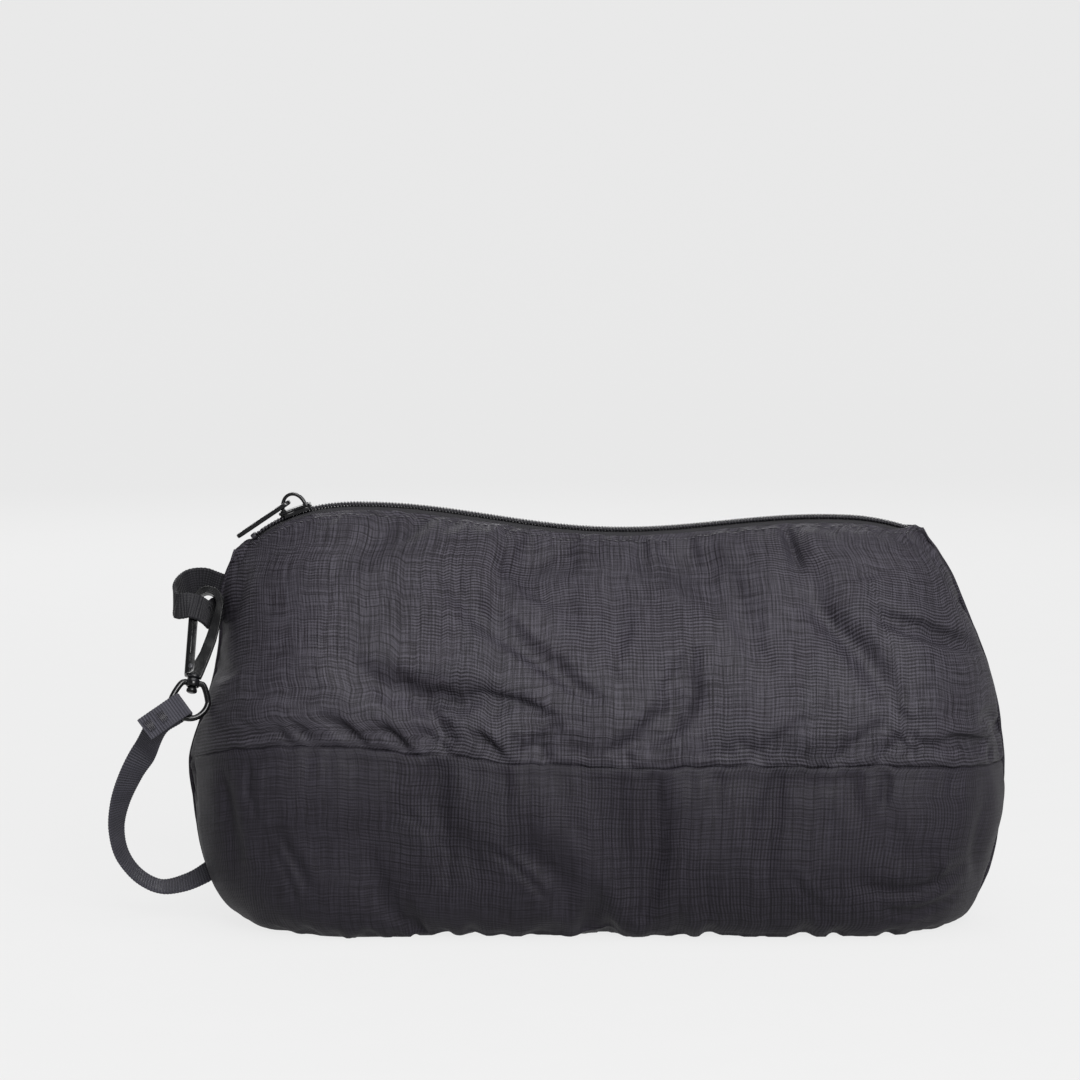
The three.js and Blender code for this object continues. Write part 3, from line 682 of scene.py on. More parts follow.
BASE_CREASES = [
    ((-106, 33), (-97, 9), 0.8, 1.0, 1.0),
    ((-37, 33), (-15, 12), 0.9, 1.3, 1.5),
    ((-66, 47), (-46, 28), 0.4, 1.1, 0.5),
    ((94.5, 39), (94.5, 28), 0.6, 0.8, 0.0),
    ((104, 33), (106, 22), 0.5, 0.8, 0.0),
    ((61, 18), (78, 3), 0.4, 0.7, 0.0),
    ((-122, 55), (-119, 28), 0.6, 1.0, 0.5),
    ((-114, 52), (-108, 34), 0.5, 0.9, 0.5),
    ((114, 56), (113, 46), 0.5, 0.9, 0.0),
    ((93, 56), (91.5, 46), 0.8, 0.9, 0.0),
]
BASE_FOLDS = [
    ((-112, 60), (-111, 46), 0.8, 1.5, 0.0),
    ((-121, 56), (-116, 22), 1.3, 2.6, 1.0),
    ((-104, 40), (-92, 18), 0.7, 1.8, 0.0),
    ((-58, 50), (-38, 24), 0.9, 4.5, 1.0),
    ((-30, 36), (-6, 14), 1.6, 5.0, 1.5),
    ((26, 42), (10, 18), 1.1, 6.0, 0.0),
    ((93, 57), (91, 44), 0.7, 1.5, 0.0),
    ((115, 57), (113, 44), 0.6, 1.6, 0.0),
    ((96, 42), (97, 26), 0.7, 1.4, 0.0),
    ((106, 34), (108, 20), 0.7, 1.4, 0.0),
    ((82, 22), (118, 24), 1.4, 3.0, -5.0),
    ((88, 14), (116, 15), 1.1, 2.4, -4.0),
    ((60, 26), (76, 8), 0.6, 1.5, 0.0),
    ((125, 50), (124, 18), 1.2, 2.4, -1.5),
]


CREASE = 1.5  # how much sharper the upper panels' creases are than listed


def folds(x, z, listed):
    return sum(fold(x, z, *entry) for entry in listed)


def seam_wave(x, side):
    """How far the base seam wanders up and down, as sewing gathers it."""
    return 0.5 * bumps(x / 9, side * 7.0 + 0 * x, 3) + 0.35 * bumps(x / 3.1, side * 5.0 + 0 * x, 4)


def puckers(x, distance, seed, pitch=3.6, reach=4.5, size=0.5):
    """Short gathers at right angles to a seam, fading with distance from it."""
    wander = bumps(x / 11, distance / 9, seed + 5)
    gathers = bumps((x + 1.5 * wander * distance / 4) / pitch, distance / 14, seed)
    strength = 0.4 + 0.6 * np.abs(bumps(x / 23, 0 * x, seed + 9))
    return size * gathers * strength * np.exp(-((distance / reach) ** 1.3))


def upper_relief(points, side, to_seam, to_zip):
    """How far the cloth of an upper panel stands out from the smooth shape."""
    x, z = points[..., 0], points[..., 2]
    if side < 0:
        relief = folds(x, z, FRONT_FOLDS)
    else:
        relief = folds(-x * 0.97, z + 2 * bumps(x / 40, z / 40, 60), FRONT_FOLDS)
    seed = 20 if side < 0 else 50
    relief = relief + 1.1 * layered(x / 46, z / 30, seed, 2) + 0.3 * layered(x / 17, z / 12, seed + 4, 2)
    relief = relief + 0.1 * layered(x / 5, z / 4, seed + 7, 2)
    inner = smoothstep(0, 9, to_seam) * smoothstep(0, 8, to_zip)
    return relief * inner


def seam_roll(distance):
    """Cloth dips a little into a seam and stands up just beside it."""
    return 0.26 * np.exp(-(((distance - 1.9) / 1.2) ** 2)) - 0.08 * np.exp(-((distance / 0.6) ** 2))


# ---- cloth that has settled ----
def resample(grid, rows, columns):
    """A smooth grid of another size through the same points."""
    for axis, count in ((0, rows), (1, columns)):
        last = grid.shape[axis] - 1
        at = np.linspace(0, last, count)
        i = np.minimum(at.astype(int), last - 1)
        t = (at - i).reshape([-1 if n == axis else 1 for n in range(grid.ndim)])
        a, b, c, d = (np.take(grid, np.clip(i + n, 0, last), axis) for n in (-1, 0, 1, 2))
        grid = b + t * (c - a + t * (2 * a - 5 * b + 4 * c - d + t * (3 * b - a - 3 * c + d))) / 2
    return grid


# rows down, columns across and stiffness: warp, weft, the two biases, and bending along warp and weft
THREADS = [(0, 1, 1.0), (1, 0, 1.0), (1, 1, 0.35), (1, -1, 0.35), (0, 2, 0.5), (2, 0, 0.5)]
ROOM = 2.8
STAND = 2.2
PULL_SHARE = 0.22  # of each thread's error that one round takes out
MOMENTUM = 0.86
WEIGHT = 0.0007  # how far the cloth's weight moves it in one round
FILLING = 0.0009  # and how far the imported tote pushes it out


def ends_of(grid, down, across):
    """The two ends of every thread that runs down rows and across columns."""
    rows, columns = grid.shape[:2]
    left, right = max(0, -across), max(0, across)
    first = grid[: rows - down, left : columns - right]
    second = grid[down:, right : columns - left]
    return first, second


def relax(start, shape, outward, pinned, spare, room, stand, rounds):
    """Settles one cloth: threads keep their length, and it hangs, buckles and rests on its filling."""
    lengths = []
    share = 1 + spare[..., None]
    for down, across, _ in THREADS:
        first, second = ends_of(shape, down, across)
        longer = (ends_of(share, down, across)[0] + ends_of(share, down, across)[1]) / 2
        lengths.append(np.linalg.norm(second - first, axis=-1, keepdims=True) * longer)
    held = pinned[..., None]
    now, before = start.copy(), start.copy()
    for _ in range(rounds):
        pull = np.zeros_like(now)
        for (down, across, stiffness), length in zip(THREADS, lengths):
            first, second = ends_of(now, down, across)
            run = second - first
            far = np.sqrt(np.sum(run * run, axis=-1, keepdims=True)) + 1e-9
            step = run * ((far - length) / far * stiffness)
            pull_first, pull_second = ends_of(pull, down, across)
            pull_first += step
            pull_second -= step
        after = now + MOMENTUM * (now - before) + PULL_SHARE * pull
        after += outward * FILLING
        after[..., 2] -= WEIGHT
        out = np.sum((after - shape) * outward, axis=-1, keepdims=True)
        after += outward * (np.clip(out, -room, stand) - out)
        before, now = now, np.where(held, start, after)
    return now


def settle(shape, outward, pinned, spare):
    """Gives a sheet a share of spare cloth and lets it settle between its pinned points.

    Long folds form on a coarse grid first and short ones on the sheet's own grid. The cloth stays within
    ROOM millimetres below and STAND millimetres above its first shape, and closer than that near its edges.
    """
    down = grid_lengths(shape, 0)
    border = np.minimum(np.minimum(down, down[-1:] - down) / 11, end_distance(shape) / 16)
    free = 0.12 + 0.88 * smoothstep(0, 1, border)[..., None]
    rows, columns = shape.shape[:2]
    small = (rows // 3, columns // 3)
    coarse = resample(shape, *small)
    facing = unit(resample(outward, *small))
    fixed = resample(pinned.astype(float), *small) > 0.6
    fixed[[0, -1], :] = True
    fixed[:, [0, -1]] = True
    loose = resample(free, *small)
    extra = resample(spare, *small)
    settled = relax(coarse, coarse, facing, fixed, extra, ROOM * loose, STAND * loose, COARSE_ROUNDS)
    start = shape + resample(settled - coarse, rows, columns)
    start = np.where(pinned[..., None], shape, start)
    extra = spare * FINE_EXTRA
    return relax(start, shape, outward, pinned, extra, ROOM * free, STAND * free, FINE_ROUNDS)


# ---- upper panels ----
COLUMNS = 300
UPPER_ROWS = 96
HEM_ROW = -4  # the row of the panel's grid that its stitches follow
SETTLE_STEP = 2  # the simulated sheet has this many times fewer rows and columns


def upper_panel(side):
    """One upper panel, from the base seam to its folded edge beside the zip. Returns its shown grid."""
    outline = np.linspace(0, 1, 400)
    column = grid_lengths(upper_point(0.0, outline, side)[:, None], 0)[:, 0]
    rows, columns = UPPER_ROWS // SETTLE_STEP, COLUMNS // SETTLE_STEP
    shares = even_shares(columns, lambda s: upper_point(s, 0.3, side))
    levels = np.interp(np.linspace(0, column[-1], rows), column, outline)
    points = upper_point(shares[None, :], levels[:, None], side)
    wander = seam_wave(points[..., 0], side) * (1 - smoothstep(0, 0.12, levels))[:, None]
    points[..., 2] += wander * (1 - np.abs(shares) ** 12)[None, :]
    outward = grid_normals(points) * -side
    to_seam = grid_lengths(points, 0)
    to_zip = to_seam[-1:] - to_seam
    to_end = end_distance(points)
    relief = upper_relief(points, side, to_seam, to_zip) * smoothstep(0, 9, to_end)
    points = points + outward * relief[..., None]
    pinned = np.zeros((rows, columns), bool)
    pinned[[0, -1], :] = True
    pinned[:, [0, -1]] = True
    x, z = points[..., 0], points[..., 2]
    spare = UPPER_SPARE * (1 + 0.7 * layered(x / 40, z / 25, 40 + side, 1))
    points = resample(settle(points, outward, pinned, spare), UPPER_ROWS, COLUMNS)
    outward = grid_normals(points) * -side
    to_seam = grid_lengths(points, 0)
    to_zip = to_seam[-1:] - to_seam
    gathers = puckers(points[..., 0], to_seam, 31 - side) * smoothstep(0, 2, to_seam)
    gathers = gathers + puckers(points[..., 0], to_zip, 42 + side, 3.0, 4.0, 0.3)
    to_end = end_distance(points)
    edges = smoothstep(0, 2, np.minimum(to_seam, to_end))
    gathers = gathers * smoothstep(0, 3, to_end)
    gathers = gathers + puckers(points[..., 2], to_end, 77, 4.0, 5.0, 0.5) * edges
    creased = folds(-side * points[..., 0], points[..., 2], FRONT_CREASES)
    gathers = gathers + CREASE * creased * smoothstep(0, 4, to_zip) * smoothstep(0, 2, to_seam)
    points = points + outward * (gathers + seam_roll(to_seam))[..., None]
    shown = points
    across = grid_lengths(points, 1)
    across = across - across[:, COLUMNS // 2 : COLUMNS // 2 + 1]
    uv = np.stack([across, grid_lengths(points, 0)], axis=-1)
    points, uv = add_hem(points, uv, outward)
    name = "front_panel_cloth" if side < 0 else "back_panel_cloth"
    obj = grid_object(name, points, uv, flip=side > 0)
    modify(obj, "SOLIDIFY", thickness=PANEL_THICKNESS * MM, offset=-1)
    replaced = "front_upper_panel" if side < 0 else "back_upper_panel"
    dress(obj, UPPER_CLOTH, "pouch", "upper_fabric", replaced)
    return shown


def add_hem(points, uv, normals):
    """Rolls the panel's top edge under, towards the zip."""
    edge, out = points[-1], normals[-1]
    up = unit(points[-1] - points[-3])
    rows, marks = [], []
    for n in range(1, 7):
        bend = math.pi * n / 6
        rows.append(edge + HEM_RADIUS * up * math.sin(bend) - HEM_RADIUS * out * (1 - math.cos(bend)))
        marks.append(HEM_RADIUS * bend)
    for down in (1.5, 3.0, 4.5):
        rows.append(rows[5] - up * down)
        marks.append(HEM_RADIUS * math.pi + down)
    more = uv[-1][None] + np.array([[[0, m]] for m in marks])
    return np.concatenate([points, np.array(rows)]), np.concatenate([uv, more])


UPPER_SPARE = 0.022
front_grid = upper_panel(-1)
back_grid = upper_panel(1)


# ---- base panel ----
BASE_SPARE = 0.022
WALL_ROWS = 60
FLOOR_ROWS = 48


def base_panel():
    """The base is one cloth, from the front seam down, under the pouch and up to the back seam."""
    outline = np.linspace(1, 0, 400)
    column = grid_lengths(base_point(0.0, outline, -1)[:, None], 0)[:, 0]
    columns = COLUMNS // SETTLE_STEP
    shares = even_shares(columns, lambda s: base_point(s, 0.6, -1))
    levels = np.interp(np.linspace(0, column[-1], WALL_ROWS // SETTLE_STEP), column, outline)
    front = base_point(shares[None, :], levels[:, None], -1)
    back = base_point(shares[None, :], levels[::-1, None], 1)
    across = np.linspace(0, 1, FLOOR_ROWS // SETTLE_STEP)[1:-1, None, None]
    points = np.concatenate([front, lerp(front[-1][None], back[0][None], across), back])
    side = np.where(np.arange(len(points)) < len(points) / 2, -1, 1)[:, None]
    to_seam = seam_distance(points)
    wander = seam_wave(points[..., 0], side)
    points[..., 2] += wander * (1 - smoothstep(0, 8, to_seam)) * (1 - np.abs(shares) ** 12)[None, :]
    outward = -grid_normals(points)
    x, z = points[..., 0], points[..., 2]
    relief = 1.5 * folds(np.where(side < 0, x, -0.95 * x), z, BASE_FOLDS) * smoothstep(3, 8, z)
    relief = relief + 1.4 * layered(x / 42, side * 30 + to_seam / 34, 90, 2)
    relief = relief + 0.45 * layered(x / 11, side * 30 + to_seam / 30, 94, 2)
    edge = np.exp(-(((z - 3) / 5) ** 2))
    relief = relief + edge * 0.8 * layered(x / 9, side * 9.0, 97, 2)
    relief = relief * smoothstep(0, 8, to_seam) * smoothstep(0, 9, end_distance(points))
    points = points + outward * relief[..., None]
    lift = 0.6 + 0.5 * bumps(x / 11, side * 4.0, 96) + 0.35 * bumps(x / 4.5, side * 4.0, 95)
    near_floor = np.exp(-((z / 7) ** 2)) * smoothstep(26, 36, np.abs(points[..., 1]))
    points[..., 2] = np.maximum(points[..., 2] + 2.4 * np.maximum(lift, 0) * near_floor, 0.3)
    pinned = (points[..., 2] < 0.8) & (np.abs(points[..., 1]) < 30)
    pinned[[0, -1], :] = True
    pinned[:, [0, -1]] = True
    rows = len(points) * SETTLE_STEP
    spare = BASE_SPARE * (1 + 0.7 * layered(x / 40, side * 9 + z / 25, 44, 1))
    points = resample(settle(points, outward, pinned, spare), rows, COLUMNS)
    outward = -grid_normals(points)
    to_seam, to_end = seam_distance(points), end_distance(points)
    edges = smoothstep(0, 2, np.minimum(to_seam, to_end))
    gathers = puckers(points[..., 0], to_seam, 81, 3.4, 5.0, 0.5) * edges
    height = points[..., 2]
    gathers = gathers + puckers(height, to_end, 83, 4.0, 6.0, 0.6) * smoothstep(3, 8, height) * edges
    at = np.where(np.arange(rows)[:, None] < rows / 2, points[..., 0], -points[..., 0])
    gathers = gathers + folds(at, points[..., 2], BASE_CREASES) * smoothstep(0, 4, to_seam)
    points = points + outward * (gathers + seam_roll(to_seam))[..., None]
    creases = 0.25 * np.abs(bumps(points[..., 0] / 12, points[..., 1] / 12, 99))
    points[..., 2] = np.where(points[..., 2] < 0.3, 0.05 + creases, points[..., 2])
    along = grid_lengths(points, 1)
    along = along - along[:, COLUMNS // 2 : COLUMNS // 2 + 1]
    obj = grid_object("base_cloth", points, np.stack([along, -grid_lengths(points, 0)], axis=-1), flip=True)
    modify(obj, "SOLIDIFY", thickness=PANEL_THICKNESS * MM, offset=-1)
    dress(obj, BASE_CLOTH, "pouch", "base_fabric", "base_panel")


def seam_distance(points):
    """How far down the wall each point of the base is from the nearer long seam."""
    height = grid_lengths(points, 0)
    return np.minimum(height, height[-1:] - height)


base_panel()


# ---- end seams, seam tapes and stitching ----
def end_binding(side, name):
    """A folded strip of cloth that binds one end seam, from the floor to the zip."""
    levels = [0.05, 0.15, 0.3, 0.5, 0.75, 1]
    points = [base_point(side, level, 1) for level in levels]
    points += [upper_point(side, level, 1) for level in (0.15, 0.3, 0.5, 0.7, 0.85, 0.93, 0.99)]
    line = curve_points([(p[0] - side * 0.1, 0, p[2]) for p in points], 240)
    taper = 1 - 0.75 * smoothstep(0.9, 1, np.linspace(0, 1, 240))
    wobble = taper * (1 + 0.12 * bumps(line[:, 2] / 3.2, 0, 5))
    section = rounded_box(2.4, 1.5, 0.7)
    obj = sweep(name + "_cloth", line, section, (0, 1, 0), scale=np.stack([wobble, wobble], axis=1))
    dress(obj, BASE_CLOTH, "pouch", "base_fabric", name)


end_binding(-1, "left_end_binding")
end_binding(1, "right_end_binding")


def seam_tape(side, name):
    """A strip inside the pouch that covers the raw edges of the base seam."""
    shares = np.linspace(-0.985, 0.985, 160)
    heights = np.linspace(-4, 4, 9)
    rows = []
    for height in heights:
        if height < 0:
            row = base_point(shares, 0.93, side)
        else:
            row = upper_point(shares, 0.05, side)
        row[:, :2] *= 1 - 1.8 / np.array([POUCH_HALF_LENGTH, POUCH_HALF_DEPTH])
        row[:, 2] = seam_height(shares, side) + height
        row[:, 1] += 0.15 * bumps(shares * 30, height / 3, 8)
        rows.append(row)
    points = np.array(rows)
    uv = np.stack([grid_lengths(points, 1), grid_lengths(points, 0)], axis=-1)
    obj = grid_object(name + "_cloth", points, uv, flip=side > 0)
    modify(obj, "SOLIDIFY", thickness=0.5 * MM, offset=-1)
    dress(obj, BASE_CLOTH, "pouch", "base_fabric", name)


seam_tape(-1, "front_seam_tape")
seam_tape(1, "back_seam_tape")


def stitches(name, lines, pitch=STITCH, thread=0.16):
    """Rows of sewing thread. Each line is its points and the directions that face away from the cloth."""
    made = []
    for line, outward in lines:
        length = grid_lengths(line[None], 1)[0]
        for start in np.arange(pitch / 2, length[-1] - pitch, pitch):
            at = start + np.linspace(0, 0.8, 6) * pitch
            path = np.stack([np.interp(at, length, line[:, n]) for n in range(3)], axis=1)
            out = unit(np.stack([np.interp(at, length, outward[:, n]) for n in range(3)], axis=1))
            rise = np.array([-0.12, 0.1, 0.17, 0.17, 0.1, -0.12])
            width = np.array([0.5, 0.9, 1, 1, 0.9, 0.5])
            side = np.cross(unit(path[-1] - path[0]), out)
            made.append(sweep("stitch", path + out * rise[:, None], circle(thread, 6), side, scale=width))
    obj = join(name, made)
    return dress(obj, THREAD, "pouch", "upper_fabric")


def topstitching():
    """One row of stitches holds each panel's hem to its zip tape."""
    lines = []
    for grid, side in ((front_grid, -1), (back_grid, 1)):
        outward = grid_normals(grid) * -side
        lines.append((grid[HEM_ROW, 8:-8], outward[HEM_ROW, 8:-8]))
    stitches("topstitching", lines)


topstitching()


# ---- the zip ----
def coil_offset(x):
    """How far the middle of each coil is from the zip's centre line."""
    return 1.55 + 0.75 * smoothstep(98.5, 103.5, -x)


def zip_coil(side, name):
    """A nylon coil: one wire wound into teeth, sewn along the edge of its tape."""
    turns = int((COIL_RIGHT - COIL_LEFT) / COIL_PITCH)
    steps = 14
    wound = np.arange(turns * steps + 1) / steps + (0.5 if side > 0 else 0)
    x = COIL_LEFT + wound * COIL_PITCH
    angle = 2 * math.pi * wound
    y = coil_offset(x) - 0.02 + 1.12 * np.cos(angle)
    z = zip_height(x) + 0.74 + 0.42 * np.sin(angle)
    path = np.stack([x, side * y, z], axis=1)
    wire = sweep("wire", path, circle(COIL_WIRE, 7), (1, 0.2, 0.1))
    x = np.linspace(COIL_LEFT - 0.4, COIL_RIGHT, 220)
    cord = np.stack([x, side * (coil_offset(x) + 0.1), zip_height(x) + 0.72], axis=1)
    core = sweep("cord", cord, circle(0.3, 8), (0, 1, 0))
    obj = join(name + "_teeth", [wire, core])
    dress(obj, COIL, "pouch", "zip_coil", name)


def zip_tape(side, name):
    """The woven tape beside one coil, which runs down inside the folded edge of its panel."""
    x = np.linspace(COIL_LEFT - 1, COIL_RIGHT + 2, 260)
    narrow = np.minimum(1, (0.2 + mouth_width(x)) / PANEL_EDGE) ** 1.3 * PANEL_EDGE / TAPE_EDGE
    inner = coil_offset(x) - 1.25
    section = [(0, 0.2, 0), (0, 2.6, 0.05), (0, 4.7, 0.25), (0, 5.5, 1.2), (0, 6.2, 3.2), (0, 8, 4.8)]
    profile = curve_points(section, 22)
    rows = []
    for n, (_, across, below) in enumerate(profile):
        first = inner if n == 0 else across
        y = np.maximum(first * narrow, 0.2)
        rows.append(np.stack([x, side * y, zip_height(x) - below + 0.04 * bumps(x / 4, across, 6)], axis=1))
    points = np.array(rows)
    uv = np.stack([grid_lengths(points, 1), grid_lengths(points, 0)], axis=-1)
    obj = grid_object(name + "_cloth", points, uv, flip=side < 0)
    modify(obj, "SOLIDIFY", thickness=0.4 * MM, offset=-1)
    dress(obj, TAPE, "pouch", "zip_tape", name)


for side_name, side_sign in (("front", -1), ("back", 1)):
    zip_coil(side_sign, "zip_coil_" + side_name)
    zip_tape(side_sign, "zip_tape_" + side_name)


def place(obj, *matrices):
    """Moves a mesh's points by the matrices, whose moves are in millimetres, the last one first."""
    for matrix in reversed(matrices):
        made = matrix.copy()
        made.translation = matrix.translation * MM
        obj.data.transform(made)
    return obj


def move(x, y, z):
    return Matrix.Translation((x, y, z))


def turn(degrees, axis):
    return Matrix.Rotation(math.radians(degrees), 4, axis)


LAY_FLAT = turn(-90, "X")  # brings an outline drawn in XZ to XY, with its thickness along Z


def zip_stop(x, length, name, material, slot_name):
    """A stop clamped round the ends of both coils."""
    slope = math.degrees(math.atan2(zip_height(x + 1) - zip_height(x - 1), 2))
    obj = plate(name + "_clamp", rounded_box(6.4, 2.0, 0.9), length, round_edge=0.3)
    place(obj, move(x, 0, zip_height(x) + 0.75), turn(-slope, "Y"), turn(90, "Z"))
    dress(obj, material, "pouch", slot_name, name)


zip_stop(COIL_LEFT - 1.2, 1.6, "zip_top_stop", COIL, "zip_coil")
zip_stop(COIL_RIGHT + 1.6, 1.8, "zip_bottom_stop", METAL, "black_metal")

# ---- the slider ----
SLIDER_LENGTH = 11.0
SHOULDER = 4.7
TAIL = 4.2
PLATE = 1.0
THROAT = 1.45  # half the room between the slider's two plates


def slider_outline(inset=0.0):
    half, shoulder, tail = SLIDER_LENGTH / 2 - inset, SHOULDER - inset, TAIL - inset
    right = [(half - 0.8, -tail), (half, -tail + 0.9), (half, tail - 0.9), (half - 0.8, tail), (0, tail)]
    right += [(-1.2, lerp(tail, shoulder, 0.35)), (-2.4, lerp(tail, shoulder, 0.85)), (-3.6, shoulder)]
    left = [(-4.6, shoulder - 0.35), (-half + 0.25, shoulder - 1.3), (-half, shoulder - 2.4)]
    top = right[2:] + left
    return [(x, -y) for x, y in reversed(top)] + top


def slider_frame():
    return (move(SLIDER_X, 0, zip_height(SLIDER_X) + 0.2), turn(-math.degrees(SLIDER_TILT), "Y"))


def slider_body():
    """Two plates joined by a wedge, with flanges down the sides of the upper one and a bridge over it."""
    parts = []
    for level in (-1, 1):
        layer = plate("plate", slider_outline(), PLATE, round_edge=0.38, segments=4)
        parts.append(place(layer, move(0, 0, level * (THROAT + PLATE / 2)), LAY_FLAT))
    line = [(x, y) for x, y in slider_outline(0.4) if y > 0]
    path = curve_points([(x, y, 0.85) for x, y in line if -4.4 < x < 5.2], 50)
    for side in (-1, 1):
        flange = sweep("flange", path * (1, side, 1), rounded_box(0.75, 1.4, 0.2), (0, 1, 0))
        parts.append(flange)
    wedge = [(1.7 * math.cos(a) - 3.6, 0.62 * math.sin(a)) for a in np.linspace(0, 2 * math.pi, 28, False)]
    parts.append(place(plate("wedge", wedge, 2 * THROAT + 0.6, round_edge=0.1, segments=1), LAY_FLAT))
    angles = np.linspace(-0.08, math.pi + 0.08, 60)
    arch = [(3.82 * math.cos(a), 0, 2.1 + 5.0 * math.sin(a)) for a in angles]
    thick = 1 + 0.35 * np.abs(np.cos(angles)) ** 6
    scale = np.stack([thick, np.ones_like(thick)], axis=1)
    parts.append(sweep("bridge", arch, rounded_box(2.4, 1.15, 0.42), (0, 1, 0), scale=scale))
    for x in (-3.9, 3.9):
        foot = plate("foot", rounded_box(1.9, 3.0, 0.7), 0.5, round_edge=0.18)
        parts.append(place(foot, move(x, 0, THROAT + PLATE + 0.1), LAY_FLAT))
    obj = join("slider_casting", parts)
    place(obj, *slider_frame())
    return dress(obj, METAL, "slider", "black_metal", "slider_body")


slider_body()

PULL_LENGTH = 20.5
PULL_HALF = 3.0


def pull_outline(inset=0.0):
    near, far, half = 0.65 - inset, -PULL_LENGTH + inset, PULL_HALF - inset
    top = [(near, half - 1.5), (near - 0.4, half - 0.8), (near - 1.2, half - 0.25), (-1.8, half)]
    top += [(far + 3, half * 0.9), (far + 1.4, half * 0.8), (far + 0.4, half * 0.55), (far, half * 0.2)]
    return [(x, -y) for x, y in reversed(top)] + top


def pull_tab():
    """A flat tab with a window for the bridge and a sunk panel with a raised rim."""
    window = [(x - 3.0, y) for x, y in rounded_box(4.8, 3.5, 1.2)]
    panel = [(x - 13.0, y) for x, y in rounded_box(11.6, 3.4, 1.5)]
    core = plate("core", pull_outline(0.3), 0.9, [window], round_edge=0.25)
    rim = plate("rim", pull_outline(), 1.5, [window, panel], round_edge=0.42, segments=4)
    grip = []
    for n in range(5):
        ridge = [(x - 9.6 - 1.7 * n, y) for x, y in rounded_box(0.6, 2.4, 0.28)]
        grip.append(plate("grip", ridge, 1.25, round_edge=0.15))
    obj = join("pull_tab_casting", [core, rim, *grip])
    pivot = (move(-1.4, 0, 4.7), turn(math.degrees(SLIDER_TILT - PULL_ANGLE), "Y"), LAY_FLAT)
    place(obj, *slider_frame(), *pivot)
    return dress(obj, METAL, "pull", "black_metal", "pull_tab")


pull_tab()

# ---- the swivel clip: its own frame has +Z up the hook and its origin in the middle of the swivel ----
CLIP_FRAME = (
    move(*CLIP_ORIGIN),
    turn(math.degrees(CLIP_YAW), "Y"),
    turn(-math.degrees(CLIP_LEAN), "X"),
)
CLIP_TURN = np.array((CLIP_FRAME[1] @ CLIP_FRAME[2]).to_3x3())


def clip_point(x, y, z):
    return CLIP_ORIGIN + CLIP_TURN @ (x, y, z)


def hook_body():
    """A cast hook on a post that turns in the ring's barrel."""
    outer = [(-2.5, 2.1), (-2.2, 1.8), (2.3, 1.8), (2.8, 3.6)]
    outer += [(4.1, 9.5), (5.2, 15.6), (5.7, 21.5), (5.8, 26)]
    outer += [(0.4 + 5.4 * math.cos(a), 27.5 + 6.2 * math.sin(a)) for a in np.linspace(0, math.pi, 30)]
    inner = [(-2.6, 27.2)]
    inner += [(0.4 + 2.9 * math.cos(a), 27.5 + 3.7 * math.sin(a)) for a in np.linspace(3, 0, 24)]
    inner += [(3.2, 26), (2.7, 22), (1.9, 16.5), (0.7, 10.5), (-0.5, 7.2), (-1.3, 6.4), (-2.5, 6.1)]
    body = plate("body", outer + inner, 3.0, round_edge=1.2, segments=7)
    head = [(0, -3.4), (1.3, -3.4), (1.75, -3.1), (1.8, -2.6), (1.7, -2.1)]
    neck = [(1.1, -1.95), (1.1, 1.4), (1.5, 1.8), (1.7, 2.6), (0, 2.8)]
    shank = lathe("shank", head + neck)
    collar = lathe("collar", [(0, 1.5), (1.9, 1.5), (2.25, 1.8), (2.25, 2.3), (1.9, 2.7), (0, 2.7)])
    obj = join("hook_casting", [body, shank, collar])
    place(obj, *CLIP_FRAME)
    return dress(obj, METAL, "hook", "black_metal", "hook_body")


hook_body()

GATE_FRAME = (*CLIP_FRAME, move(-1.4, 0, 4.9), turn(-5, "Y"))


def gate_lever():
    """A channel folded from sheet: two cheeks and a web, which straddle the foot of the hook."""
    corner = 0.7
    across = [(0.9, 2.1), (0.1, 2.1), (-0.6, 2.1), (-1.7 + corner, 2.1)]
    across += arc(-1.7 + corner, 2.1 - corner, corner, 100, 170, 5)
    across += [(-1.7, 2.1 - corner), (-1.7, 0.7), (-1.7, 0)]
    across += [(x, -y) for x, y in reversed(across[:-1])]
    heights = [-2.4, -2.2, -1.6, -0.6, 0.8, 2.4, 4, 7, 10, 13, 16, 19, 20.9, 21.3]
    reach = np.interp(heights, [-2.4, -1.6, 0.5, 3, 21.3], [-0.3, 0.9, 1.25, 0.9, 0.9])
    points = []
    for height, wide in zip(heights, reach):
        grow = (wide + 1.7) / (0.9 + 1.7)
        points.append([(-1.7 + (x + 1.7) * grow, y, height) for x, y in across])
    points = np.array(points)
    uv = np.zeros((*points.shape[:2], 2))
    channel = grid_object("channel", points, uv)
    modify(channel, "SOLIDIFY", thickness=0.6 * MM, offset=0)
    bevel_edges(channel, 0.16, 3, 50)
    ribs = []
    for face in (-1, 1):
        ends = ((2.3, 4.5), (2.42, 5.5), (2.42, 18.5), (2.3, 19.6))
        line = [(-0.5, face * out, height) for out, height in ends]
        ribs.append(sweep("rib", curve_points(line, 30), circle(0.42, 12), (1, 0, 0)))
    obj = join("gate_channel", [channel, *ribs])
    place(obj, *GATE_FRAME)
    return dress(obj, METAL, "gate", "black_metal", "gate_lever")


gate_lever()


def gate_pin():
    """A rivet with domed ends, through both cheeks and the foot of the hook."""
    half = 2.75
    profile = [(0, -half - 0.25), (0.5, -half - 0.2), (0.85, -half), (0.9, 0.3 - half), (0.58, 0.4 - half)]
    obj = lathe("gate_rivet", profile + [(r, -z) for r, z in reversed(profile)], 24)
    place(obj, *GATE_FRAME, turn(90, "X"))
    return dress(obj, STEEL, "hook", "black_metal", "gate_pin")


gate_pin()


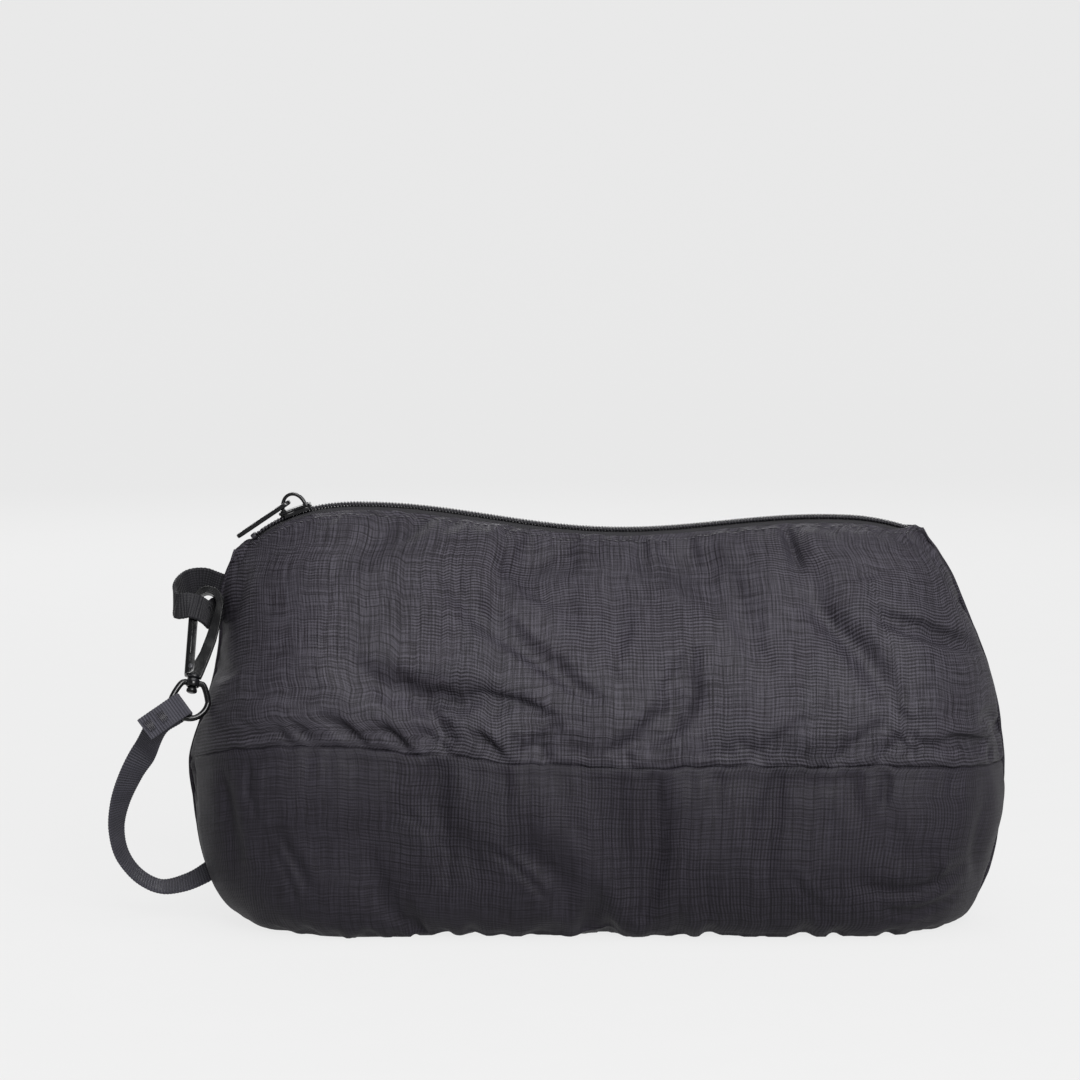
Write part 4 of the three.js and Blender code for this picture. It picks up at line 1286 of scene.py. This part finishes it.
def gate_spring():
    """A bent leaf from the foot of the hook to the inside of the gate, which bends it."""
    path = curve_points([(-1.1, 0, 2.2), (-0.1, 0, 3.4), (-0.2, 0, 6), (-1.0, 0, 9)], 30)
    obj = sweep("gate_leaf", path, rounded_box(1.8, 0.3, 0.12), (0, 1, 0))
    place(obj, *GATE_FRAME)
    obj.data.materials.append(STEEL)
    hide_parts("gate_spring")
    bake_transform(obj)


gate_spring()


def swivel_ring():
    """A round-shouldered D of wire, with a barrel in its straight bar that turns on the hook's post."""
    arms = np.linspace(-0.22, math.pi + 0.22, 30)
    points = [(2.0, 0, 0), (3.4, 0, -0.25)]
    points += [(6 * math.cos(a), 0, -5.9 - 6.36 * math.sin(a)) for a in arms[2:-2]]
    points += [(-3.4, 0, -0.25), (-2.0, 0, 0)]
    wire = sweep("wire", curve_points(points, 160), circle(1.0, 20), (0, 1, 0))
    lower = [(1.4, -1.2), (1.6, -1.4), (1.9, -1.4), (2.15, -1.15)]
    upper = [(2.15, 1.05), (1.9, 1.3), (1.6, 1.3), (1.4, 1.1)]
    barrel = lathe("barrel", [*lower, *upper, lower[0]])
    obj = join("ring_casting", [wire, barrel])
    place(obj, *CLIP_FRAME)
    return dress(obj, METAL, "ring", "black_metal", "swivel_ring")


swivel_ring()

# ---- webbing ----
RIB = 1.05


def webbing_band(name, path, sides, width, thickness, step=0.16):
    """Narrow webbing along a path: ribs across it and a rounded selvedge down each edge."""
    rough = curve_points(path, 400)
    length = grid_lengths(rough[None], 1)[0]
    count = int(length[-1] / step)
    even = np.linspace(0, length[-1], count)
    line = np.stack([np.interp(even, length, rough[:, n]) for n in range(3)], axis=1)
    kernel = np.ones(5) / 5
    inner = np.stack([np.convolve(line[:, n], kernel, "valid") for n in range(3)], axis=1)
    line[2:-2] = inner
    share = np.interp(even, length, np.linspace(0, 1, 400))
    across = spread(sides, 400)
    across = np.stack([np.interp(share, np.linspace(0, 1, 400), across[:, n]) for n in range(3)], axis=1)
    half, thick = width / 2, thickness / 2
    edge = [(half, 0), (half - 0.12, thick * 0.7), (half - 0.5, thick * 1.0), (half - 1.0, thick * 0.86)]
    flat = [(x, thick * 0.86) for x in np.linspace(half - 1.6, -half + 1.6, 7)]
    top = edge[1:] + flat + [(-x, y) for x, y in reversed(edge[1:])]
    section = [(half, 0)] + top + [(-half, 0)] + [(x, -y) for x, y in reversed(top)]
    rib = 1 + 0.1 * np.sin(2 * math.pi * even / RIB)
    narrow = 1 + 0.012 * np.sin(2 * math.pi * even / RIB + 1) + 0.012 * bumps(even / 7, 0, 12)
    return sweep(name, line, section, across, scale=np.stack([narrow, rib], axis=1))


UP = (0, 0, 1)
ALONG_CLIP = tuple(CLIP_TURN @ (0, 0, 1))
ALONG_SEAM = (0.35, 0, 1)
LOOP_PATH = [
    (-122.8, 0.4, 110.6),
    (-126.9, 1.9, 111.9),
    (-131.2, 3.4, 113.2),
    (-135.6, 2.4, 113),
    (-138.8, -1.4, 111.2),
    (-140.2, -6.6, 108.4),
    (-138.9, -11.2, 106.2),
    clip_point(-5.2, -3.7, 25.2),
    clip_point(-2.6, -3.6, 25),
    clip_point(-0.9, -2.1, 24.8),
    clip_point(0.6, 0.8, 24.8),
    clip_point(1.8, 3.2, 24.6),
    (-127.6, -4, 103.8),
    (-123.6, -0.6, 104.6),
]
LOOP_SIDES = [ALONG_SEAM, *[UP] * 4, *[ALONG_CLIP] * 4, ALONG_SEAM]
loop = webbing_band("clip_loop", LOOP_PATH, LOOP_SIDES, LOOP_WIDTH, LOOP_THICKNESS)
loop.data.materials.append(LOOP_WEBBING_PAINTED_SHADE)
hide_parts("webbing_loop")
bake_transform(loop)

RING_CENTRE = clip_point(0, 0, -6.2)
TO_STRAP = CLIP_TURN @ unit(np.array([-0.72, 0, -0.69]))
THROUGH = CLIP_TURN @ (0, 1, 0)
FOLD_SIDE = unit(np.cross(TO_STRAP, THROUGH))


def fold_point(along, back):
    return tuple(RING_CENTRE + TO_STRAP * along + THROUGH * back)


STRAP_PATH = [
    (-125.4, 0, 19.2),
    (-131.4, 0.1, 14.8),
    (-138.4, 0.5, 11.4),
    (-146.4, 0.2, 10.2),
    (-153.6, -1, 14),
    (-158.9, -3, 21.6),
    (-160.4, -5.6, 30.4),
    (-158.8, -9, 40),
    (-154.4, -13, 50.6),
    (-149.6, -16, 58.6),
    fold_point(12, 1.3),
    fold_point(7, 1.75),
    fold_point(4.2, 1.75),
    fold_point(2.6, 1.25),
    fold_point(2.1, 0),
    fold_point(2.6, -1.25),
    fold_point(4.2, -1.75),
    fold_point(7, -1.75),
    fold_point(12, -1.7),
    fold_point(18, -1.3),
]
STRAP_SIDES = [
    (0, 0.6, 0.8),
    (0, 0.7, 0.7),
    (0, 0.85, 0.55),
    (0, 0.93, 0.37),
    (0.15, 0.93, 0.3),
    (0.37, 0.93, 0.1),
    (0.45, 0.88, -0.05),
    (0.6, 0.75, -0.2),
    (0.73, 0.5, -0.4),
    tuple(lerp(FOLD_SIDE, np.array([0, 1, 0]), 0.2)),
    *[tuple(FOLD_SIDE)] * 10,
]
strap = webbing_band("wrist_webbing", STRAP_PATH, STRAP_SIDES, STRAP_WIDTH, STRAP_THICKNESS)
strap.data.materials.append(WEBBING)
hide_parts("wrist_strap")
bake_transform(strap)


def bartack(along):
    """Dense stitches across the strap, which hold its folded end."""
    lines = []
    for n in range(9):
        middle = np.array(fold_point(along + 0.28 * n, -2.36))
        way = FOLD_SIDE if n % 2 else -FOLD_SIDE
        line = np.array([middle + way * s + TO_STRAP * 0.1 * s for s in np.linspace(-3.3, 3.3, 12)])
        lines.append((line, np.broadcast_to(-THROUGH, line.shape)))
    return lines


tacks = stitches("strap_bartacks", bartack(9.5) + bartack(14.5), pitch=4.2, thread=0.13)
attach(tacks, "ring")

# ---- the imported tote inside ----
LAYERS = 27
LAYER_PITCH = 2.72
TOTE_HALF = 92.0


def tote_half_width(z):
    return np.where(z < 52, lerp(33, 41, z / 52), lerp(41, 24, (z - 52) / 38)) - 0.6


def tote_body():
    """The tote's body, folded lengthways and then to and fro into a stack of soft layers."""
    path = []
    for n in range(LAYERS):
        z = 3.6 + n * LAYER_PITCH
        half = float(tote_half_width(z))
        way = 1 if n % 2 else -1
        path += [(-way * s * (half - 1.4), z + 0.35 * math.sin(7 * s + n)) for s in np.linspace(-1, 1, 24)]
        if n < LAYERS - 1:
            side = -way
            radius = LAYER_PITCH / 2
            path += [
                (side * (half - 1.4 + radius * math.cos(a)), z + radius + radius * math.sin(a))
                for a in np.linspace(-1.2, 1.2, 5)
            ]
    path = np.array(path)
    x = np.linspace(-TOTE_HALF, TOTE_HALF, 93)
    y = path[:, 0][:, None] + 0.5 * bumps(x[None, :] / 30, path[:, 1][:, None] / 9, 71)
    z = path[:, 1][:, None] + 0.5 * bumps(x[None, :] / 24, path[:, 0][:, None] / 22, 70)
    points = np.stack(np.broadcast_arrays(x[None, :], y, z), axis=-1)
    uv = np.stack([grid_lengths(points, 1), grid_lengths(points, 0)], axis=-1)
    obj = grid_object("tote_cloth", points, uv)
    dress(obj, UPPER_CLOTH, "pouch", "upper_fabric", "tote_body")


tote_body()


def tote_handle(y, name):
    """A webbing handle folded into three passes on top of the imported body."""
    points = []
    for n, way in enumerate((-1, 1, -1)):
        z = 77.9 + n * 2.9
        points += [(-57 * way, y, z), (0, y, z + 0.3), (57 * way, y, z)]
        if n < 2:
            points.append((59.8 * way, y, z + 1.45))
    obj = webbing_band(name + "_webbing", points, [(0, 1, 0), (0, 1, 0)], 20, 1.3, 0.3)
    dress(obj, WEBBING, "pouch", "webbing", name)


tote_handle(-12, "tote_handle_front")
tote_handle(12, "tote_handle_back")


def anchor_tab():
    """A tab of cloth that joins the tote to the pouch, so the pouch stays with the open bag."""
    path = curve_points([(0, 41.6, 47.2), (0, 43.6, 48.2), (0, 45.2, 51), (0, 46, 55)], 24)
    obj = sweep("anchor_cloth", path, rounded_box(60, 0.8, 0.35), (1, 0, 0))
    dress(obj, BASE_CLOTH, "pouch", "base_fabric", "tote_anchor_tab")


anchor_tab()


# ---- camera, light and floor ----
VIEW_TARGET = np.array([-19.0, 0.0, 127.1])
VIEW_DISTANCE = 1200.0
VIEW_ELEVATION = math.radians(5)
LENS = 120.0
SENSOR = 36.0
FLOOR_Z = -0.05  # the paper lies a hair under the pouch


def add_camera():
    data = bpy.data.cameras.new("camera")
    data.lens = LENS
    data.sensor_width = SENSOR
    data.clip_start = 0.01
    camera = bpy.data.objects.new("camera", data)
    bpy.context.scene.collection.objects.link(camera)
    back = np.array([0, -math.cos(VIEW_ELEVATION), math.sin(VIEW_ELEVATION)])
    camera.location = (VIEW_TARGET + VIEW_DISTANCE * back) * MM
    camera.rotation_euler = (math.pi / 2 - VIEW_ELEVATION, 0, 0)
    bpy.context.scene.camera = camera


def add_light(name, place, target, size, power):
    data = bpy.data.lights.new(name, "AREA")
    data.shape = "RECTANGLE"
    data.size, data.size_y = size
    data.energy = power
    light = bpy.data.objects.new(name, data)
    bpy.context.scene.collection.objects.link(light)
    light.location = place
    light.rotation_euler = (Vector(target) - Vector(place)).to_track_quat("-Z", "Y").to_euler()


def add_stage():
    """A round sweep of pale paper: a wide floor whose rim curves up all round."""
    quarter = np.linspace(0, math.pi / 2, 10)
    rim = [(4000 + 900 * math.sin(a), 900 - 900 * math.cos(a) + FLOOR_Z) for a in quarter]
    flat = [(r, FLOOR_Z) for r in (0, 300, 1500)]
    floor = lathe("studio_floor", [*flat, *rim, (4900, 1500)], 96)
    paint = Paint("studio_paper")
    paper = paint.noise(40.0)
    floor.data.materials.append(
        paint.finish(
            Base_Color=paint.mix(paper, colour(52, 52, 52), colour(55, 55, 55)),
            Roughness=1.0,
            Specular_IOR_Level=0.0,
            Emission_Color=(1.0, 1.0, 1.0, 1.0),
            Emission_Strength=0.79,
        )
    )


add_camera()
add_stage()
add_light("softbox_top", (0.1, -0.35, 1.25), (0, 0, 0.1), (1.2, 0.8), 15)
add_light("softbox_front", (0.4, -1.5, 0.9), (0, 0, 0.06), (1.0, 0.8), 54)
add_light("softbox_back", (-0.3, 1.5, 0.9), (0, 0, 0.06), (1.2, 0.8), 20)
add_light("softbox_right", (1.25, -0.75, 0.6), (0, 0, 0.08), (0.5, 0.9), 5)
world = bpy.data.worlds.new("studio")
world.use_nodes = True
world.node_tree.nodes["Background"].inputs["Color"].default_value = (0.9, 0.9, 0.9, 1.0)
world.node_tree.nodes["Background"].inputs["Strength"].default_value = 0.35
bpy.context.scene.world = world
bpy.context.scene.view_settings.view_transform = "Standard"
